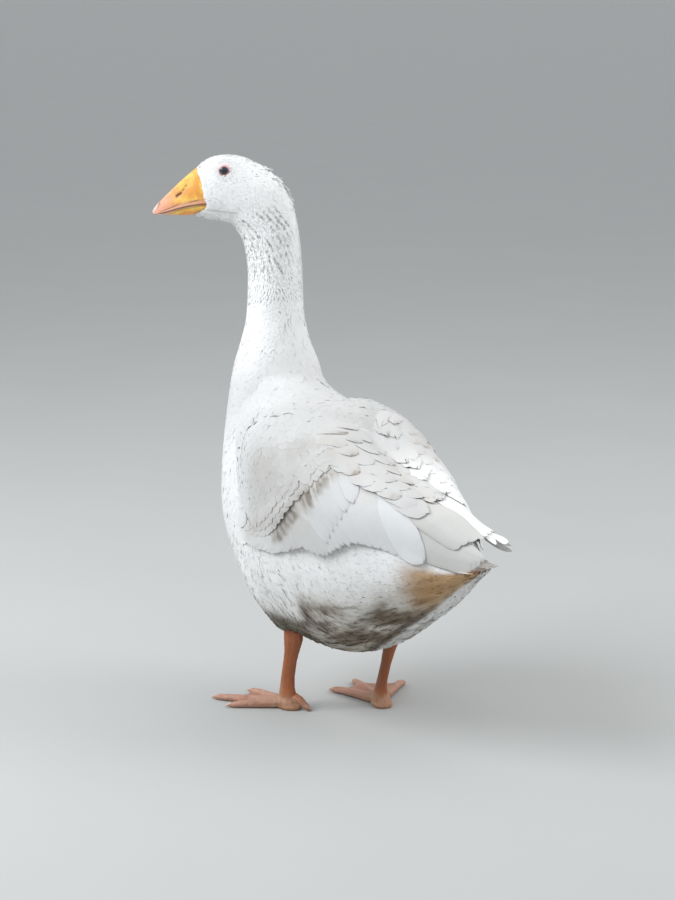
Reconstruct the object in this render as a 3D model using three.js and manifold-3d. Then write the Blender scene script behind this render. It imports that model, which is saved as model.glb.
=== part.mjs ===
// A standing white domestic goose, life size, in millimetres, +Z up.
// It faces -Y, its left side is +X, and it stands on Z = 0.
// The head is turned to its left. The body is lofted as one form through named
// loops, from the tail coverts to the bill, and parted by thin cuts.
import * as THREE from 'three';
import * as BufferGeometryUtils from 'three/addons/utils/BufferGeometryUtils.js';
import Module from 'manifold-3d';

const wasm = await Module();
wasm.setup();

// ---- driving dimensions -------------------------------------------------
const SHIFT_X = 5.14;       // moves the neck axis so that the whole bird is centred
const SHIFT_Y = -159.44;
const GAP = 0.35;           // clearance kept between neighbouring solids
const HEAD_TURN = 48;       // degrees, to its left
const BODY_SEGS = 24;       // points round each loop of the body
const BODY_STEPS = 2;       // rings between named loops

const FEATHER_EDGE = 5;     // thickness of a wing's free edge
const WEB_THICKNESS = 2.4;

const TAU = Math.PI * 2;
const rad = (d) => d * Math.PI / 180;
const lerp = (a, b, t) => a + (b - a) * t;
const clamp = (x, a, b) => Math.min(b, Math.max(a, x));
const smooth = (a, b, x) => { const t = clamp((x - a) / (b - a), 0, 1); return t * t * (3 - 2 * t); };

// ---- solids -------------------------------------------------------------
function solidFrom(positions, triangles) {
  const g = new THREE.BufferGeometry();
  g.setAttribute('position', new THREE.Float32BufferAttribute(positions, 3));
  g.setIndex(triangles);
  const m = BufferGeometryUtils.mergeVertices(g, 1e-4);
  const idx = m.index.array, keep = [];
  for (let i = 0; i < idx.length; i += 3) {
    const [a, b, c] = [idx[i], idx[i + 1], idx[i + 2]];
    if (a !== b && b !== c && c !== a) keep.push(a, b, c);
  }
  return new wasm.Manifold(new wasm.Mesh({
    numProp: 3,
    vertProperties: new Float32Array(m.attributes.position.array),
    triVerts: new Uint32Array(keep),
  }));
}

function solidFromGeometry(geometry, matrix) {
  const g = geometry.clone();
  g.deleteAttribute('normal');
  g.deleteAttribute('uv');
  if (matrix) g.applyMatrix4(matrix);
  const m = BufferGeometryUtils.mergeVertices(g, 1e-4);
  return new wasm.Manifold(new wasm.Mesh({
    numProp: 3,
    vertProperties: new Float32Array(m.attributes.position.array),
    triVerts: new Uint32Array(m.index.array),
  }));
}

// rings: arrays of [x, y, z] with equal counts, each ring running the same way
function loft(rings) {
  const n = rings[0].length, pos = [], tri = [];
  for (const r of rings) for (const p of r) pos.push(...p);
  const at = (i, j) => i * n + (j % n);
  for (let i = 0; i + 1 < rings.length; i++) {
    for (let j = 0; j < n; j++) {
      tri.push(at(i, j), at(i, j + 1), at(i + 1, j + 1));
      tri.push(at(i, j), at(i + 1, j + 1), at(i + 1, j));
    }
  }
  const cap = (i, flip) => {
    const c = [0, 0, 0];
    for (const p of rings[i]) for (let k = 0; k < 3; k++) c[k] += p[k] / n;
    const id = pos.length / 3;
    pos.push(...c);
    for (let j = 0; j < n; j++) {
      if (flip) tri.push(id, at(i, j), at(i, j + 1));
      else tri.push(id, at(i, j + 1), at(i, j));
    }
  };
  cap(0, false);
  cap(rings.length - 1, true);
  let s = solidFrom(pos, tri);
  if (s.volume() < 0) {
    const back = [];
    for (let i = 0; i < tri.length; i += 3) back.push(tri[i], tri[i + 2], tri[i + 1]);
    s = solidFrom(pos, back);
  }
  return s;
}

// a thick patch: an outer grid and an inner grid of the same size, sewn along the rim
function patch(outer, inner) {
  const nu = outer.length, nv = outer[0].length, pos = [], tri = [];
  for (const row of outer) for (const p of row) pos.push(...p);
  for (const row of inner) for (const p of row) pos.push(...p);
  const o = (i, j) => i * nv + j, q = (i, j) => nu * nv + i * nv + j;
  const quad = (a, b, c, d) => tri.push(a, b, c, a, c, d);
  for (let i = 0; i + 1 < nu; i++) {
    for (let j = 0; j + 1 < nv; j++) {
      quad(o(i, j), o(i, j + 1), o(i + 1, j + 1), o(i + 1, j));
      quad(q(i, j), q(i + 1, j), q(i + 1, j + 1), q(i, j + 1));
    }
    quad(o(i, 0), o(i + 1, 0), q(i + 1, 0), q(i, 0));
    quad(o(i, nv - 1), q(i, nv - 1), q(i + 1, nv - 1), o(i + 1, nv - 1));
  }
  for (let j = 0; j + 1 < nv; j++) {
    quad(o(0, j), q(0, j), q(0, j + 1), o(0, j + 1));
    quad(o(nu - 1, j), o(nu - 1, j + 1), q(nu - 1, j + 1), q(nu - 1, j));
  }
  let s = solidFrom(pos, tri);
  if (s.volume() < 0) {
    const back = [];
    for (let i = 0; i < tri.length; i += 3) back.push(tri[i], tri[i + 2], tri[i + 1]);
    s = solidFrom(pos, back);
  }
  return s;
}


// Catmull-Rom through rows of numbers, with a number of steps for each stretch
function through(rows, stepsOf) {
  const out = [];
  const n = rows.length;
  for (let i = 0; i + 1 < n; i++) {
    const [a, b, c, d] = [rows[Math.max(0, i - 1)], rows[i], rows[i + 1], rows[Math.min(n - 1, i + 2)]];
    const steps = typeof stepsOf === 'function' ? stepsOf(i) : stepsOf;
    for (let k = 0; k < steps; k++) {
      const t = k / steps, t2 = t * t, t3 = t2 * t;
      out.push(b.map((_, j) => 0.5 * (2 * b[j] + (c[j] - a[j]) * t
        + (2 * a[j] - 5 * b[j] + 4 * c[j] - d[j]) * t2
        + (3 * b[j] - a[j] - 3 * c[j] + d[j]) * t3)));
    }
  }
  out.push(rows[n - 1].slice());
  return out;
}

// value of a smooth curve through [x, value] knots
function curve(knots) {
  return (x) => {
    const n = knots.length;
    if (x <= knots[0][0]) return knots[0][1];
    if (x >= knots[n - 1][0]) return knots[n - 1][1];
    let i = 0;
    while (x > knots[i + 1][0]) i++;
    const [x0, y0] = knots[i], [x1, y1] = knots[i + 1];
    const slope = (k) => {
      if (k <= 0 || k >= n - 1) return 0;
      const a = (knots[k][1] - knots[k - 1][1]) / (knots[k][0] - knots[k - 1][0]);
      const b = (knots[k + 1][1] - knots[k][1]) / (knots[k + 1][0] - knots[k][0]);
      return a * b <= 0 ? 0 : 2 * a * b / (a + b);
    };
    const h = x1 - x0, t = (x - x0) / h, m0 = i === 0 ? (y1 - y0) / h : slope(i), m1 = i === n - 2 ? (y1 - y0) / h : slope(i + 1);
    return (2 * t ** 3 - 3 * t * t + 1) * y0 + (t ** 3 - 2 * t * t + t) * h * m0
      + (-2 * t ** 3 + 3 * t * t) * y1 + (t ** 3 - t * t) * h * m1;
  };
}

// ---- the body -----------------------------------------------------------
// Each loop: back point (forward, up), breast or belly point (forward, up), half width,
// where it is widest (0 back, 1 belly), roundness of upper and lower halves, turn in degrees.
const LOOPS = {
  covertTip:  [-388, 241, -391, 235,  18, 0.50, 2.0, 2.0, 0],
  tailRoot:   [-350, 253, -358, 207,  41, 0.50, 2.2, 2.0, 0],
  rump:       [-305, 286, -322, 172,  68, 0.48, 2.3, 2.0, 0],
  vent:       [-260, 312, -285, 144,  84, 0.47, 2.4, 2.0, 0],
  hips:       [-215, 338, -242, 113,  96, 0.47, 2.5, 2.0, 0],
  paunch:     [-168, 366, -188,  91, 102, 0.47, 2.6, 2.1, 0],
  belly:      [-127, 388, -128,  88, 104, 0.48, 2.6, 2.2, 0],
  keel:       [ -96, 402,  -62, 100, 102, 0.50, 2.5, 2.3, 0],
  breastLow:  [ -78, 411,   -3, 141,  94, 0.52, 2.4, 2.3, 0],
  breast:     [ -68, 420,   39, 200,  85, 0.54, 2.2, 2.2, 0],
  breastTop:  [ -61, 429,   55, 272,  74, 0.54, 2.1, 2.1, 0],
  crop:       [ -56, 439,   56, 352,  65, 0.52, 2.0, 2.0, 0],
  neckFoot:   [ -51, 452,   53, 418,  55, 0.50, 2.0, 2.0, 2],
  neckBase:   [ -45, 472,   45, 455,  45, 0.50, 2.0, 2.0, 6],
  neckLow:    [ -40, 500,   37, 488,  37, 0.50, 2.0, 2.0, 12],
  neckMid:    [ -38, 534,   34, 528,  34, 0.50, 2.0, 2.0, 22],
  neckHigh:   [ -36, 570,   34, 562,  33, 0.50, 2.0, 2.0, 34],
  nape:       [ -32, 606,   38, 588,  33, 0.50, 2.0, 2.0, 43],
  napeTop:    [ -27, 630,   45, 603,  32, 0.50, 2.0, 2.0, 46],
  poll:       [ -19, 651,   51, 612,  31, 0.50, 2.0, 2.1, HEAD_TURN],
  occiput:    [  -7, 671,   57, 616,  30, 0.52, 2.0, 2.1, HEAD_TURN],
  crownRear:  [  13, 687,   64, 617,  28.5, 0.54, 2.0, 2.2, HEAD_TURN],
  crown:      [  35, 698,   71, 618,  27, 0.56, 2.0, 2.2, HEAD_TURN],
  brow:       [  55, 702,   79, 619,  25.5, 0.58, 2.0, 2.2, HEAD_TURN],
  forehead:   [  74, 700,   88, 621,  23, 0.60, 2.0, 2.2, HEAD_TURN],
  lore:       [  89, 693,   97, 623,  20, 0.62, 2.0, 2.2, HEAD_TURN],
  billBase:   [ 101, 682,  107, 625,  16.5, 0.64, 2.0, 2.2, HEAD_TURN],
};

function bodyRing(row, grow = 0) {
  const [ds, dz, vs, vz, w, m, nu, nl, turn] = row;
  const len = Math.hypot(ds - vs, dz - vz), ux = (ds - vs) / len, uz = (dz - vz) / len;
  const cs = lerp(ds, vs, m), cz = lerp(dz, vz, m);
  const up = len * m + grow, down = len * (1 - m) + grow, half = w + grow;
  const ring = [];
  for (let j = 0; j < BODY_SEGS; j++) {
    const t = TAU * j / BODY_SEGS, ct = Math.cos(t), st = Math.sin(t);
    const e = 2 / (ct >= 0 ? nu : nl);
    const side = half * Math.sign(st) * Math.abs(st) ** e;
    const rise = (ct >= 0 ? up : down) * Math.sign(ct) * Math.abs(ct) ** e;
    ring.push(ahead(cs + ux * rise, side, cz + uz * rise, turn));
  }
  return ring;
}

// a place given by distance forward, to the left and up, in a plane turned to the left
function ahead(forward, left, z, turn) {
  const c = Math.cos(rad(turn)), s = Math.sin(rad(turn));
  return [left * c + forward * s, left * s - forward * c, z];
}

function bodySolid(names, grow = 0) {
  // the neck's loops lie close enough to need no rings between them
  const rows = through(names.map((n) => LOOPS[n]), (i) => (/^(neck(Base|Low|Mid|High)|nape)/.test(names[i]) ? 1 : BODY_STEPS));
  return loft(rows.map((r) => bodyRing(r, grow)));
}

const ALL = Object.keys(LOOPS);
const upTo = (name) => ALL.slice(0, ALL.indexOf(name) + 1);

// a block whose middle is at a place, turned about Z and then leaned about its own X
function block(center, size, turn = 0, lean = 0) {
  const m = new THREE.Matrix4().makeRotationZ(rad(turn)).multiply(new THREE.Matrix4().makeRotationX(rad(lean)));
  m.setPosition(...center);
  return solidFromGeometry(new THREE.BoxGeometry(...size), m);
}

// a slab across the head: an outline in (forward, up), as wide as wanted
function headSlab(outline, half) {
  const shape = new THREE.Shape(outline.map(([f, z]) => new THREE.Vector2(f, z)));
  const g = new THREE.ExtrudeGeometry(shape, { depth: 2 * half, bevelEnabled: false });
  // x of the shape goes forward, y goes up, the depth goes to the left
  const f = ahead(1, 0, 0, HEAD_TURN), l = ahead(0, 1, 0, HEAD_TURN);
  const m = new THREE.Matrix4().makeBasis(new THREE.Vector3(f[0], f[1], 0), new THREE.Vector3(0, 0, 1),
    new THREE.Vector3(-l[0], -l[1], 0));
  m.setPosition(l[0] * half, l[1] * half, 0);
  return solidFromGeometry(g, m);
}

const wholeBody = bodySolid(ALL);

// ---- the bill -----------------------------------------------------------
// where feathers stop, from the forehead to the corner of the gape and on to the chin
const FEATHER_LINE = [[99, 684.5], [92.5, 675], [89.2, 661], [86.8, 648], [83.5, 643], [84.2, 634.5], [92, 629.6], [103, 625.5]];
const beforeLine = (gap) => [...FEATHER_LINE.map(([f, z]) => [f + gap, z]), [118, 600], [210, 600], [210, 712], [104 + gap, 712]];
const behindLine = (gap) => [...FEATHER_LINE.map(([f, z], i) => [f + gap, i > 4 ? z + gap * 0.9 : z]).reverse(), [104 + gap, 712], [20, 712], [20, 600], [103 + gap, 600]];

// each loop: ridge (forward, up), edge (forward, up), half width at the edge, half width high up
const UPPER_BILL = [
  [ 90, 690,  74, 641.5, 16.6, 9.5],
  [ 99, 684,  85, 641.3, 16.4, 8.6],
  [108, 676.5, 97, 639.8, 15.6, 7.6],
  [118.5, 667.5, 109, 637.6, 14.4, 6.8],
  [129, 657.5, 121, 634.4, 13.0, 6.4],
  [139, 648, 132.5, 630.8, 11.6, 6.2],
  [147, 639.8, 143, 627.9, 9.6, 5.8],
  [152, 633.6, 149.5, 626.2, 6.6, 4.4],
  [154.6, 629.2, 153.6, 626.0, 2.6, 2.0],
];
const LOWER_BILL = [
  [ 76, 641.0, 80, 631.0, 14.6],
  [ 85, 640.6, 88, 629.0, 14.4],
  [ 97, 639.1, 99, 626.2, 13.6],
  [109, 636.9, 110, 625.0, 12.2],
  [121, 633.7, 121, 624.8, 10.6],
  [132.5, 630.1, 132, 625.2, 9.0],
  [143, 627.2, 142.5, 625.2, 6.6],
];
function upperBillRing([rf, rz, ef, ez, w, wt], drop = 0) {
  const len = Math.hypot(rf - ef, rz - ez), uf = (rf - ef) / len, uz = (rz - ez) / len;
  const at = (side, h) => ahead(ef + uf * h, side, ez + uz * h, HEAD_TURN);
  const half = [[0, 1], [0.42, 0.985], [0.8, 0.92], [1.05, 0.78]].map(([a, h]) => [a * wt, h * len]);
  half.push([lerp(w, wt, 0.42), 0.5 * len], [lerp(w, wt, 0.12), 0.22 * len], [w, 0.03 * len], [w * 0.96, 0]);
  const ring = half.map(([a, h]) => at(a, h));
  ring.push(at(0, 0.02 * len));
  for (let k = half.length - 1; k > 0; k--) ring.push(at(-half[k][0], half[k][1]));
  return ring;
}
function lowerBillRing([tf, tz, bf, bz, w]) {
  const ring = [];
  for (let j = 0; j < 14; j++) {
    const t = TAU * j / 14, ct = Math.cos(t), st = Math.sin(t);
    const h = ct >= 0 ? 1 - 0.06 * (1 - ct) : 1 - (1 - Math.abs(ct) ** 1.1 * -1) * 0;
    const k = ct >= 0 ? lerp(0.78, 1, Math.abs(ct) ** 0.35) : lerp(0.78, 0, Math.abs(ct) ** 1.3);
    ring.push(ahead(lerp(bf, tf, k), w * Math.sign(st) * Math.abs(st) ** 0.6 * (ct < 0 ? 1 : 0.94), lerp(bz, tz, k), HEAD_TURN));
  }
  return ring;
}
const upperBillWhole = loft(through(UPPER_BILL, 1).map((r) => upperBillRing(r)));
const lowerBillWhole = loft(through(LOWER_BILL, 1).map((r) => lowerBillRing(r)));

// ---- the eyes -----------------------------------------------------------
const EYE_FORWARD = 61.5, EYE_UP = 682, EYE_OUT = 14.2;
const eyeBall = (side, r) => {
  const m = new THREE.Matrix4();
  m.setPosition(...ahead(EYE_FORWARD, side * EYE_OUT, EYE_UP, HEAD_TURN));
  return solidFromGeometry(new THREE.SphereGeometry(r, 10, 7), m);
};

// ---- the folded wings ---------------------------------------------------
// outline of the closed wings, by distance behind the neck axis
const wingHalf = curve([[30, 84], [50, 97], [80, 106], [120, 113], [160, 116], [200, 112], [240, 101],
  [270, 87], [300, 69], [330, 52], [360, 36], [390, 24], [424, 13]]);
const wingTop = curve([[30, 402], [60, 408], [100, 406], [140, 399], [180, 384], [220, 361], [260, 340],
  [310, 320], [350, 302], [385, 284], [416, 270]]);
const wingMid = curve([[30, 325], [60, 322], [120, 300], [200, 285], [250, 272], [300, 264], [340, 256], [380, 253], [416, 258]]);
const wingRound = curve([[30, 2.2], [80, 2.6], [140, 2.8], [200, 2.5], [250, 2.2], [320, 2.0], [416, 2.0]]);
// how far out from the middle of the back the upper edge runs, as a share of the half width
const wingStart = curve([[30, 1.0], [50, 0.84], [80, 0.62], [120, 0.42], [160, 0.2], [195, 0.02], [416, 0.02]]);
// height of the lower edge
const wingEdge = curve([[30, 350], [42, 300], [55, 278], [84, 251], [113, 232], [150, 237], [190, 246], [227, 241],
  [254, 263], [288, 269], [314, 264], [331, 253], [350, 246], [366, 245], [398, 254], [416, 258]]);
const groove = (y, x) => 10 * smooth(170, 215, y) * (1 - smooth(300, 360, y)) * Math.exp(-((x / 22) ** 2));

// how far the trunk reaches from (0, y, z) in a direction of the same cross plane
const trunkMesh = (() => {
  const m = bodySolid(upTo('neckBase')).getMesh(), out = [];
  const v = (i) => new THREE.Vector3(m.vertProperties[3 * i], m.vertProperties[3 * i + 1], m.vertProperties[3 * i + 2]);
  for (let i = 0; i < m.triVerts.length; i += 3) out.push([v(m.triVerts[i]), v(m.triVerts[i + 1]), v(m.triVerts[i + 2])]);
  return out;
})();
const ray = new THREE.Ray(), hit = new THREE.Vector3();
function trunkReach(y, z, dx, dz) {
  ray.origin.set(0, y, z);
  ray.direction.set(dx, 0, dz).normalize();
  let far = 0;
  for (const [a, b, c] of trunkMesh) if (ray.intersectTriangle(a, b, c, false, hit)) far = Math.max(far, hit.distanceTo(ray.origin));
  return far;
}

// a point of the closed wing's surface: v runs from its upper edge to its lower edge
const wingCache = new Map();
function wingSurface(y, v) {
  const key = y.toFixed(3) + ' ' + v.toFixed(4);
  if (wingCache.has(key)) return wingCache.get(key);
  const w = wingHalf(y), top = wingTop(y), mid = wingMid(y), n = wingRound(y);
  const a0 = Math.asin(clamp(wingStart(y), 0, 1));
  const below = 130, a1 = Math.PI / 2 + Math.asin(clamp((mid - wingEdge(y)) / below, -0.9, 0.95));
  const a = lerp(Math.min(a0, a1 - 0.12), a1, v), ca = Math.cos(a), sa = Math.sin(a), e = 2 / n;
  let x, z;
  if (ca >= 0) { x = w * Math.abs(sa) ** e; z = mid + (top - mid) * ca ** e; }
  else { x = w * Math.abs(sa) ** 0.8; z = mid - below * Math.abs(ca); }
  z -= groove(y, x);
  // stay proud of the trunk
  const r = Math.hypot(x, z - mid) || 1, dx = x / r, dz = (z - mid) / r;
  const least = trunkReach(y, mid, dx, dz) + FEATHER_EDGE - 1.2 + 4 * smooth(300, 345, y), k = 3;
  const R = least < FEATHER_EDGE ? r : (r + least + Math.hypot(r - least, k)) / 2;
  const out = { y, x: dx * R, z: mid + dz * R, dx, dz };
  wingCache.set(key, out);
  return out;
}
function wingPoint(y, v, side, depth) {
  const p = wingSurface(y, v);
  // the tip of the right wing lies further from the middle and a little higher
  const off = side < 0 ? smooth(335, 424, y) : 0;
  return [side * (Math.max(0.22, p.x - p.dx * depth) + 18 * off * smooth(0, 0.6, v)), y, p.z - p.dz * depth + 9 * off * smooth(0, 0.5, v)];
}
function wingPatch(side, yFrom, yTo, nu, nv, from, to, depthOuter, depthInner) {
  const outer = [], inner = [];
  for (let i = 0; i < nu; i++) {
    const o = [], q = [];
    for (let j = 0; j < nv; j++) {
      const t = j / (nv - 1), y = lerp(yFrom(t), yTo(t), i / (nu - 1)), v = lerp(from(y), to(y), t);
      o.push(wingPoint(y, v, side, depthOuter(y, t)));
      q.push(wingPoint(y, v, side, depthInner(y, t)));
    }
    outer.push(o); inner.push(q);
  }
  return patch(outer, inner);
}

// ---- the tail fan -------------------------------------------------------
const TAIL_TIP = 400, TAIL_HALF = 29;
function tailFan(grow = 0) {
  const outer = [], inner = [];
  for (let i = 0; i < 6; i++) {
    const o = [], q = [];
    for (let j = 0; j < 9; j++) {
      const t = lerp(-1, 1, j / 8), end = TAIL_TIP + grow - 9 * Math.abs(t) ** 2;
      const y = lerp(340, end, i / 5), w = lerp(31, TAIL_HALF, i / 5) + grow;
      const z = lerp(247, 243.5, i / 5) - 3.5 * t * t;
      o.push([w * t, y, z + 2.6 + grow]); q.push([w * t, y, z - 2.2 - grow]);
    }
    outer.push(o); inner.push(q);
  }
  return patch(outer, inner);
}

// ---- thighs, legs and feet ----------------------------------------------
// sections along a leg: centre x, y, z, half depth (fore and aft), half width
function limb(sections, turn, segs, steps = 1, round = 2.2) {
  const rows = through(sections, steps);
  return loft(rows.map(([x, y, z, depth, width]) => {
    const ring = [];
    for (let j = 0; j < segs; j++) {
      const t = TAU * j / segs, c = Math.cos(t), s = Math.sin(t), e = 2 / round;
      const f = depth * Math.sign(c) * Math.abs(c) ** e, l = width * Math.sign(s) * Math.abs(s) ** e;
      const p = ahead(f, l, 0, turn);
      ring.push([x + p[0], y + p[1], z]);
    }
    return ring;
  }));
}
// a toe: points x, y, z of its middle line with half width and half height
function toe(points, steps = 1, segs = 7) {
  const rows = through(points, steps);
  return loft(rows.map(([x, y, z, w, h], i) => {
    const a = rows[Math.max(0, i - 1)], b = rows[Math.min(rows.length - 1, i + 1)];
    const dir = new THREE.Vector3(b[0] - a[0], b[1] - a[1], b[2] - a[2]).normalize();
    const side = new THREE.Vector3(0, 0, 1).cross(dir).normalize(), up = dir.clone().cross(side);
    const ring = [];
    for (let j = 0; j < segs; j++) {
      const t = TAU * (j + 0.5) / segs, c = Math.cos(t) * h, s = Math.sin(t) * w;
      ring.push([x + side.x * s + up.x * c, y + side.y * s + up.y * c, z + side.z * s + up.z * c]);
    }
    return ring;
  }));
}
// a web between two toe lines, scalloped in front
function web(lineA, lineB, scallop, lift) {
  const at = (line, t) => {
    const k = clamp(t, 0, 1) * (line.length - 1), i = Math.min(line.length - 2, Math.floor(k)), f = k - i;
    return line[i].map((c, j) => lerp(c, line[i + 1][j], f));
  };
  const outer = [], inner = [];
  for (let i = 0; i < 5; i++) {
    const o = [], q = [];
    for (let j = 0; j < 5; j++) {
      const v = j / 4, u = (0.06 + 0.9 * i / 4) * (1 - scallop * Math.sin(Math.PI * v) * (i / 4));
      const a = at(lineA, u), b = at(lineB, u);
      const z = lerp(a[2], b[2], v) * 0.55 + 1.5 + lift * Math.sin(Math.PI * v) * Math.sin(Math.PI * (i / 4) * 0.8);
      o.push([lerp(a[0], b[0], v), lerp(a[1], b[1], v), z + WEB_THICKNESS / 2]);
      q.push([lerp(a[0], b[0], v), lerp(a[1], b[1], v), z - WEB_THICKNESS / 2]);
    }
    outer.push(o); inner.push(q);
  }
  return patch(outer, inner);
}
const UNDER_FLOOR = block([0, 100, -30], [600, 600, 60]);

// ankle, toe tips and hallux of each foot, and the leg's sections
const LEGS = {
  left: {
    turn: 34,
    thigh: [[58, 44, 232, 34, 26], [58, 60, 190, 42, 35], [56, 74, 155, 38, 34], [54.5, 88, 128, 26, 24], [53, 98, 109, 17, 15.5]],
    leg: [[53, 100, 120, 9, 7.5], [52.5, 101.5, 106, 12, 9], [52, 101.5, 95, 12.5, 9.2], [52, 99, 82, 10.2, 7.4], [52, 94.6, 65, 8.7, 5.9],
      [52, 89.8, 42, 8.8, 5.8], [52, 88.4, 28, 9.6, 6.6], [52, 89, 17, 11.5, 8.6]],
    ankle: [52, 89],
    heel: [51, 100],
    toes: { inner: [54.5, 10], middle: [107, 0], outer: [112, 39] },
    curl: { inner: 1.5, middle: 0, outer: 0 },
    hallux: [[50, 96, 19], [46, 107, 13], [41.5, 116, 4.5]],
  },
  right: {
    turn: -17,
    thigh: [[-60, 72, 232, 34, 26], [-60, 98, 190, 42, 35], [-57, 124, 150, 38, 34], [-54, 146, 120, 25, 24], [-52, 163, 100, 16, 14.5]],
    leg: [[-51.5, 168, 112, 9, 7.5], [-51, 172, 98, 12, 8.6], [-50.5, 173, 88, 12.4, 8.8], [-49.5, 171, 76, 10, 7], [-48.5, 166.5, 58, 8.6, 5.6],
      [-47.5, 161.5, 38, 8.8, 5.6], [-47, 159, 26, 9.6, 6.4], [-47, 158, 17, 11.5, 8.4]],
    ankle: [-47, 158],
    heel: [-46, 168],
    toes: { inner: [-30, 76], middle: [-76, 68], outer: [-126, 117] },
    curl: { inner: 2.5, middle: 2, outer: 4 },
    hallux: [[-48, 166, 20], [-42, 163, 12], [-37, 158.5, 4.5]],
  },
};

function footSolid(leg) {
  const [ax, ay] = leg.ankle, lines = {};
  let s = limb([[ax, ay, 15.6, 11, 8.4], [ax, ay + 1, 9, 14.5, 11.5], [leg.heel[0], lerp(ay, leg.heel[1], 0.35), 3.5, 16, 13], [leg.heel[0], lerp(ay, leg.heel[1], 0.35), 0, 14.5, 12]], leg.turn, 12);
  for (const [name, tip] of Object.entries(leg.toes)) {
    const dx = tip[0] - ax, dy = tip[1] - ay, len = Math.hypot(dx, dy), lift = leg.curl[name];
    const at = (t, z, w, h) => [ax + dx * t, ay + dy * t, z, w, h];
    s = s.add(toe([at(0.0, 8, 7.5, 7.5), at(0.22, 6.4, 6.2, 6.4), at(0.5, 5.3 + lift * 0.5, 5.5, 5.2),
      at(0.75, 4.6 + lift * 0.6, 4.9, 4.5), at(0.9, 3.8 + lift * 0.2, 4.0, 3.8), at(0.955, 3.6, 2.4, 2.4), at(1.0, 2.4, 0.8, 0.8)]));
    lines[name] = [0, 0.25, 0.5, 0.7, 0.92].map((t) => [ax + dx * t, ay + dy * t, 4.5 + lift * Math.sin(Math.PI * t)]);
  }
  s = s.add(web(lines.inner, lines.middle, 0.20, 1.2)).add(web(lines.middle, lines.outer, 0.20, 1.2));
  const [h0, h1, h2] = leg.hallux;
  s = s.add(toe([[...h0, 4.6, 4.6], [...h1, 5.2, 5.0], [...h2, 3.8, 3.6], [lerp(h1[0], h2[0], 1.42), lerp(h1[1], h2[1], 1.42), 1.2, 1.0, 1.0]], 1, 7));
  return s.subtract(UNDER_FLOOR);
}

// ---- parting ------------------------------------------------------------
const parts = {};
const HUGE = 1200;
// all that lies in front of (or behind) a plane across the body
function halfSpace([forward, up], turn, pitch, front, gap) {
  const n = new THREE.Vector3(...ahead(Math.cos(rad(pitch)), 0, Math.sin(rad(pitch)), turn));
  const c = new THREE.Vector3(...ahead(forward, 0, up, turn)).addScaledVector(n, (front ? 1 : -1) * (HUGE / 2 + gap / 2));
  const m = new THREE.Matrix4().makeRotationFromQuaternion(new THREE.Quaternion().setFromUnitVectors(new THREE.Vector3(0, -1, 0), n));
  m.setPosition(c);
  return solidFromGeometry(new THREE.BoxGeometry(HUGE, HUGE, HUGE), m);
}
// thin cuts across the body: a point (forward, up), turn, and pitch of what faces the head
const CUTS = {
  tail: [[-333, 240], 0, -12],
  neckBase: [[-2, 450], 3, 80],
  neckMid: [[0, 545], 26, 88],
  head: [[15, 619], HEAD_TURN, 64],
};
const inFront = (name) => halfSpace(...CUTS[name], true, GAP);
const behind = (name) => halfSpace(...CUTS[name], false, GAP);

const eyesGrown = eyeBall(1, 9 + GAP).add(eyeBall(-1, 9 + GAP));
parts.head = wholeBody.intersect(inFront('head')).subtract(headSlab(beforeLine(0), 60)).subtract(eyesGrown);
parts.neck_upper = wholeBody.intersect(inFront('neckMid')).intersect(behind('head'));
parts.neck_lower = wholeBody.intersect(inFront('neckBase')).intersect(behind('neckMid'));
parts.trunk = wholeBody.intersect(behind('neckBase')).intersect(inFront('tail'));
parts.bill_upper = upperBillWhole.subtract(headSlab(behindLine(GAP), 60));
parts.bill_lower = lowerBillWhole.subtract(headSlab(behindLine(GAP), 60));
parts.eye_left = eyeBall(1, 9);
parts.eye_right = eyeBall(-1, 9);

const grown = bodySolid(upTo('neckBase'), GAP);
parts.tail = wholeBody.intersect(behind('tail')).add(tailFan());
const tailGrown = grown.add(tailFan(GAP));

for (const [name, side] of [['left', 1], ['right', -1]]) {
  const depthIn = (y) => lerp(26, 4, smooth(245, 320, y));
  const wing = wingPatch(side, (t) => lerp(52, 34, smooth(0, 0.5, t)), (t) => lerp(392, 334, smooth(0.05, 0.95, t)), 20, 9, () => 0, () => 1, () => 0, depthIn);
  parts['wing_' + name] = wing.subtract(tailGrown);
  parts['primaries_' + name] = wingPatch(side, (t) => 326, (t) => lerp(424, 408, Math.abs(2 * t - 1) ** 2), 8, 7, () => 0.12, () => 1, () => 5.2, () => 9)
    .subtract(tailGrown);
}
for (const [name, leg] of Object.entries(LEGS)) {
  const legSolid = limb(leg.leg, leg.turn, 10);
  const legGrown = limb(leg.leg.map(([x, y, z, a, b]) => [x, y, z, a + GAP * 1.2, b + GAP * 1.2]), leg.turn, 10).add(block([leg.leg[0][0], leg.leg[0][1], leg.leg[0][2] + 1], [4, 4, 3]));
  parts['thigh_' + name] = limb(leg.thigh, leg.turn * 0.3, 14, 2).subtract(grown).subtract(legGrown);
  parts['leg_' + name] = legSolid.subtract(grown).subtract(block([0, 100, 8 + GAP / 2], [600, 600, 16 + GAP]));
  parts['foot_' + name] = footSolid(leg).subtract(block([0, 100, 16 + 100], [600, 600, 200]).intersect(block([leg.ankle[0], leg.ankle[1], 20], [22, 24, 40], leg.turn)));
}

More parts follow.
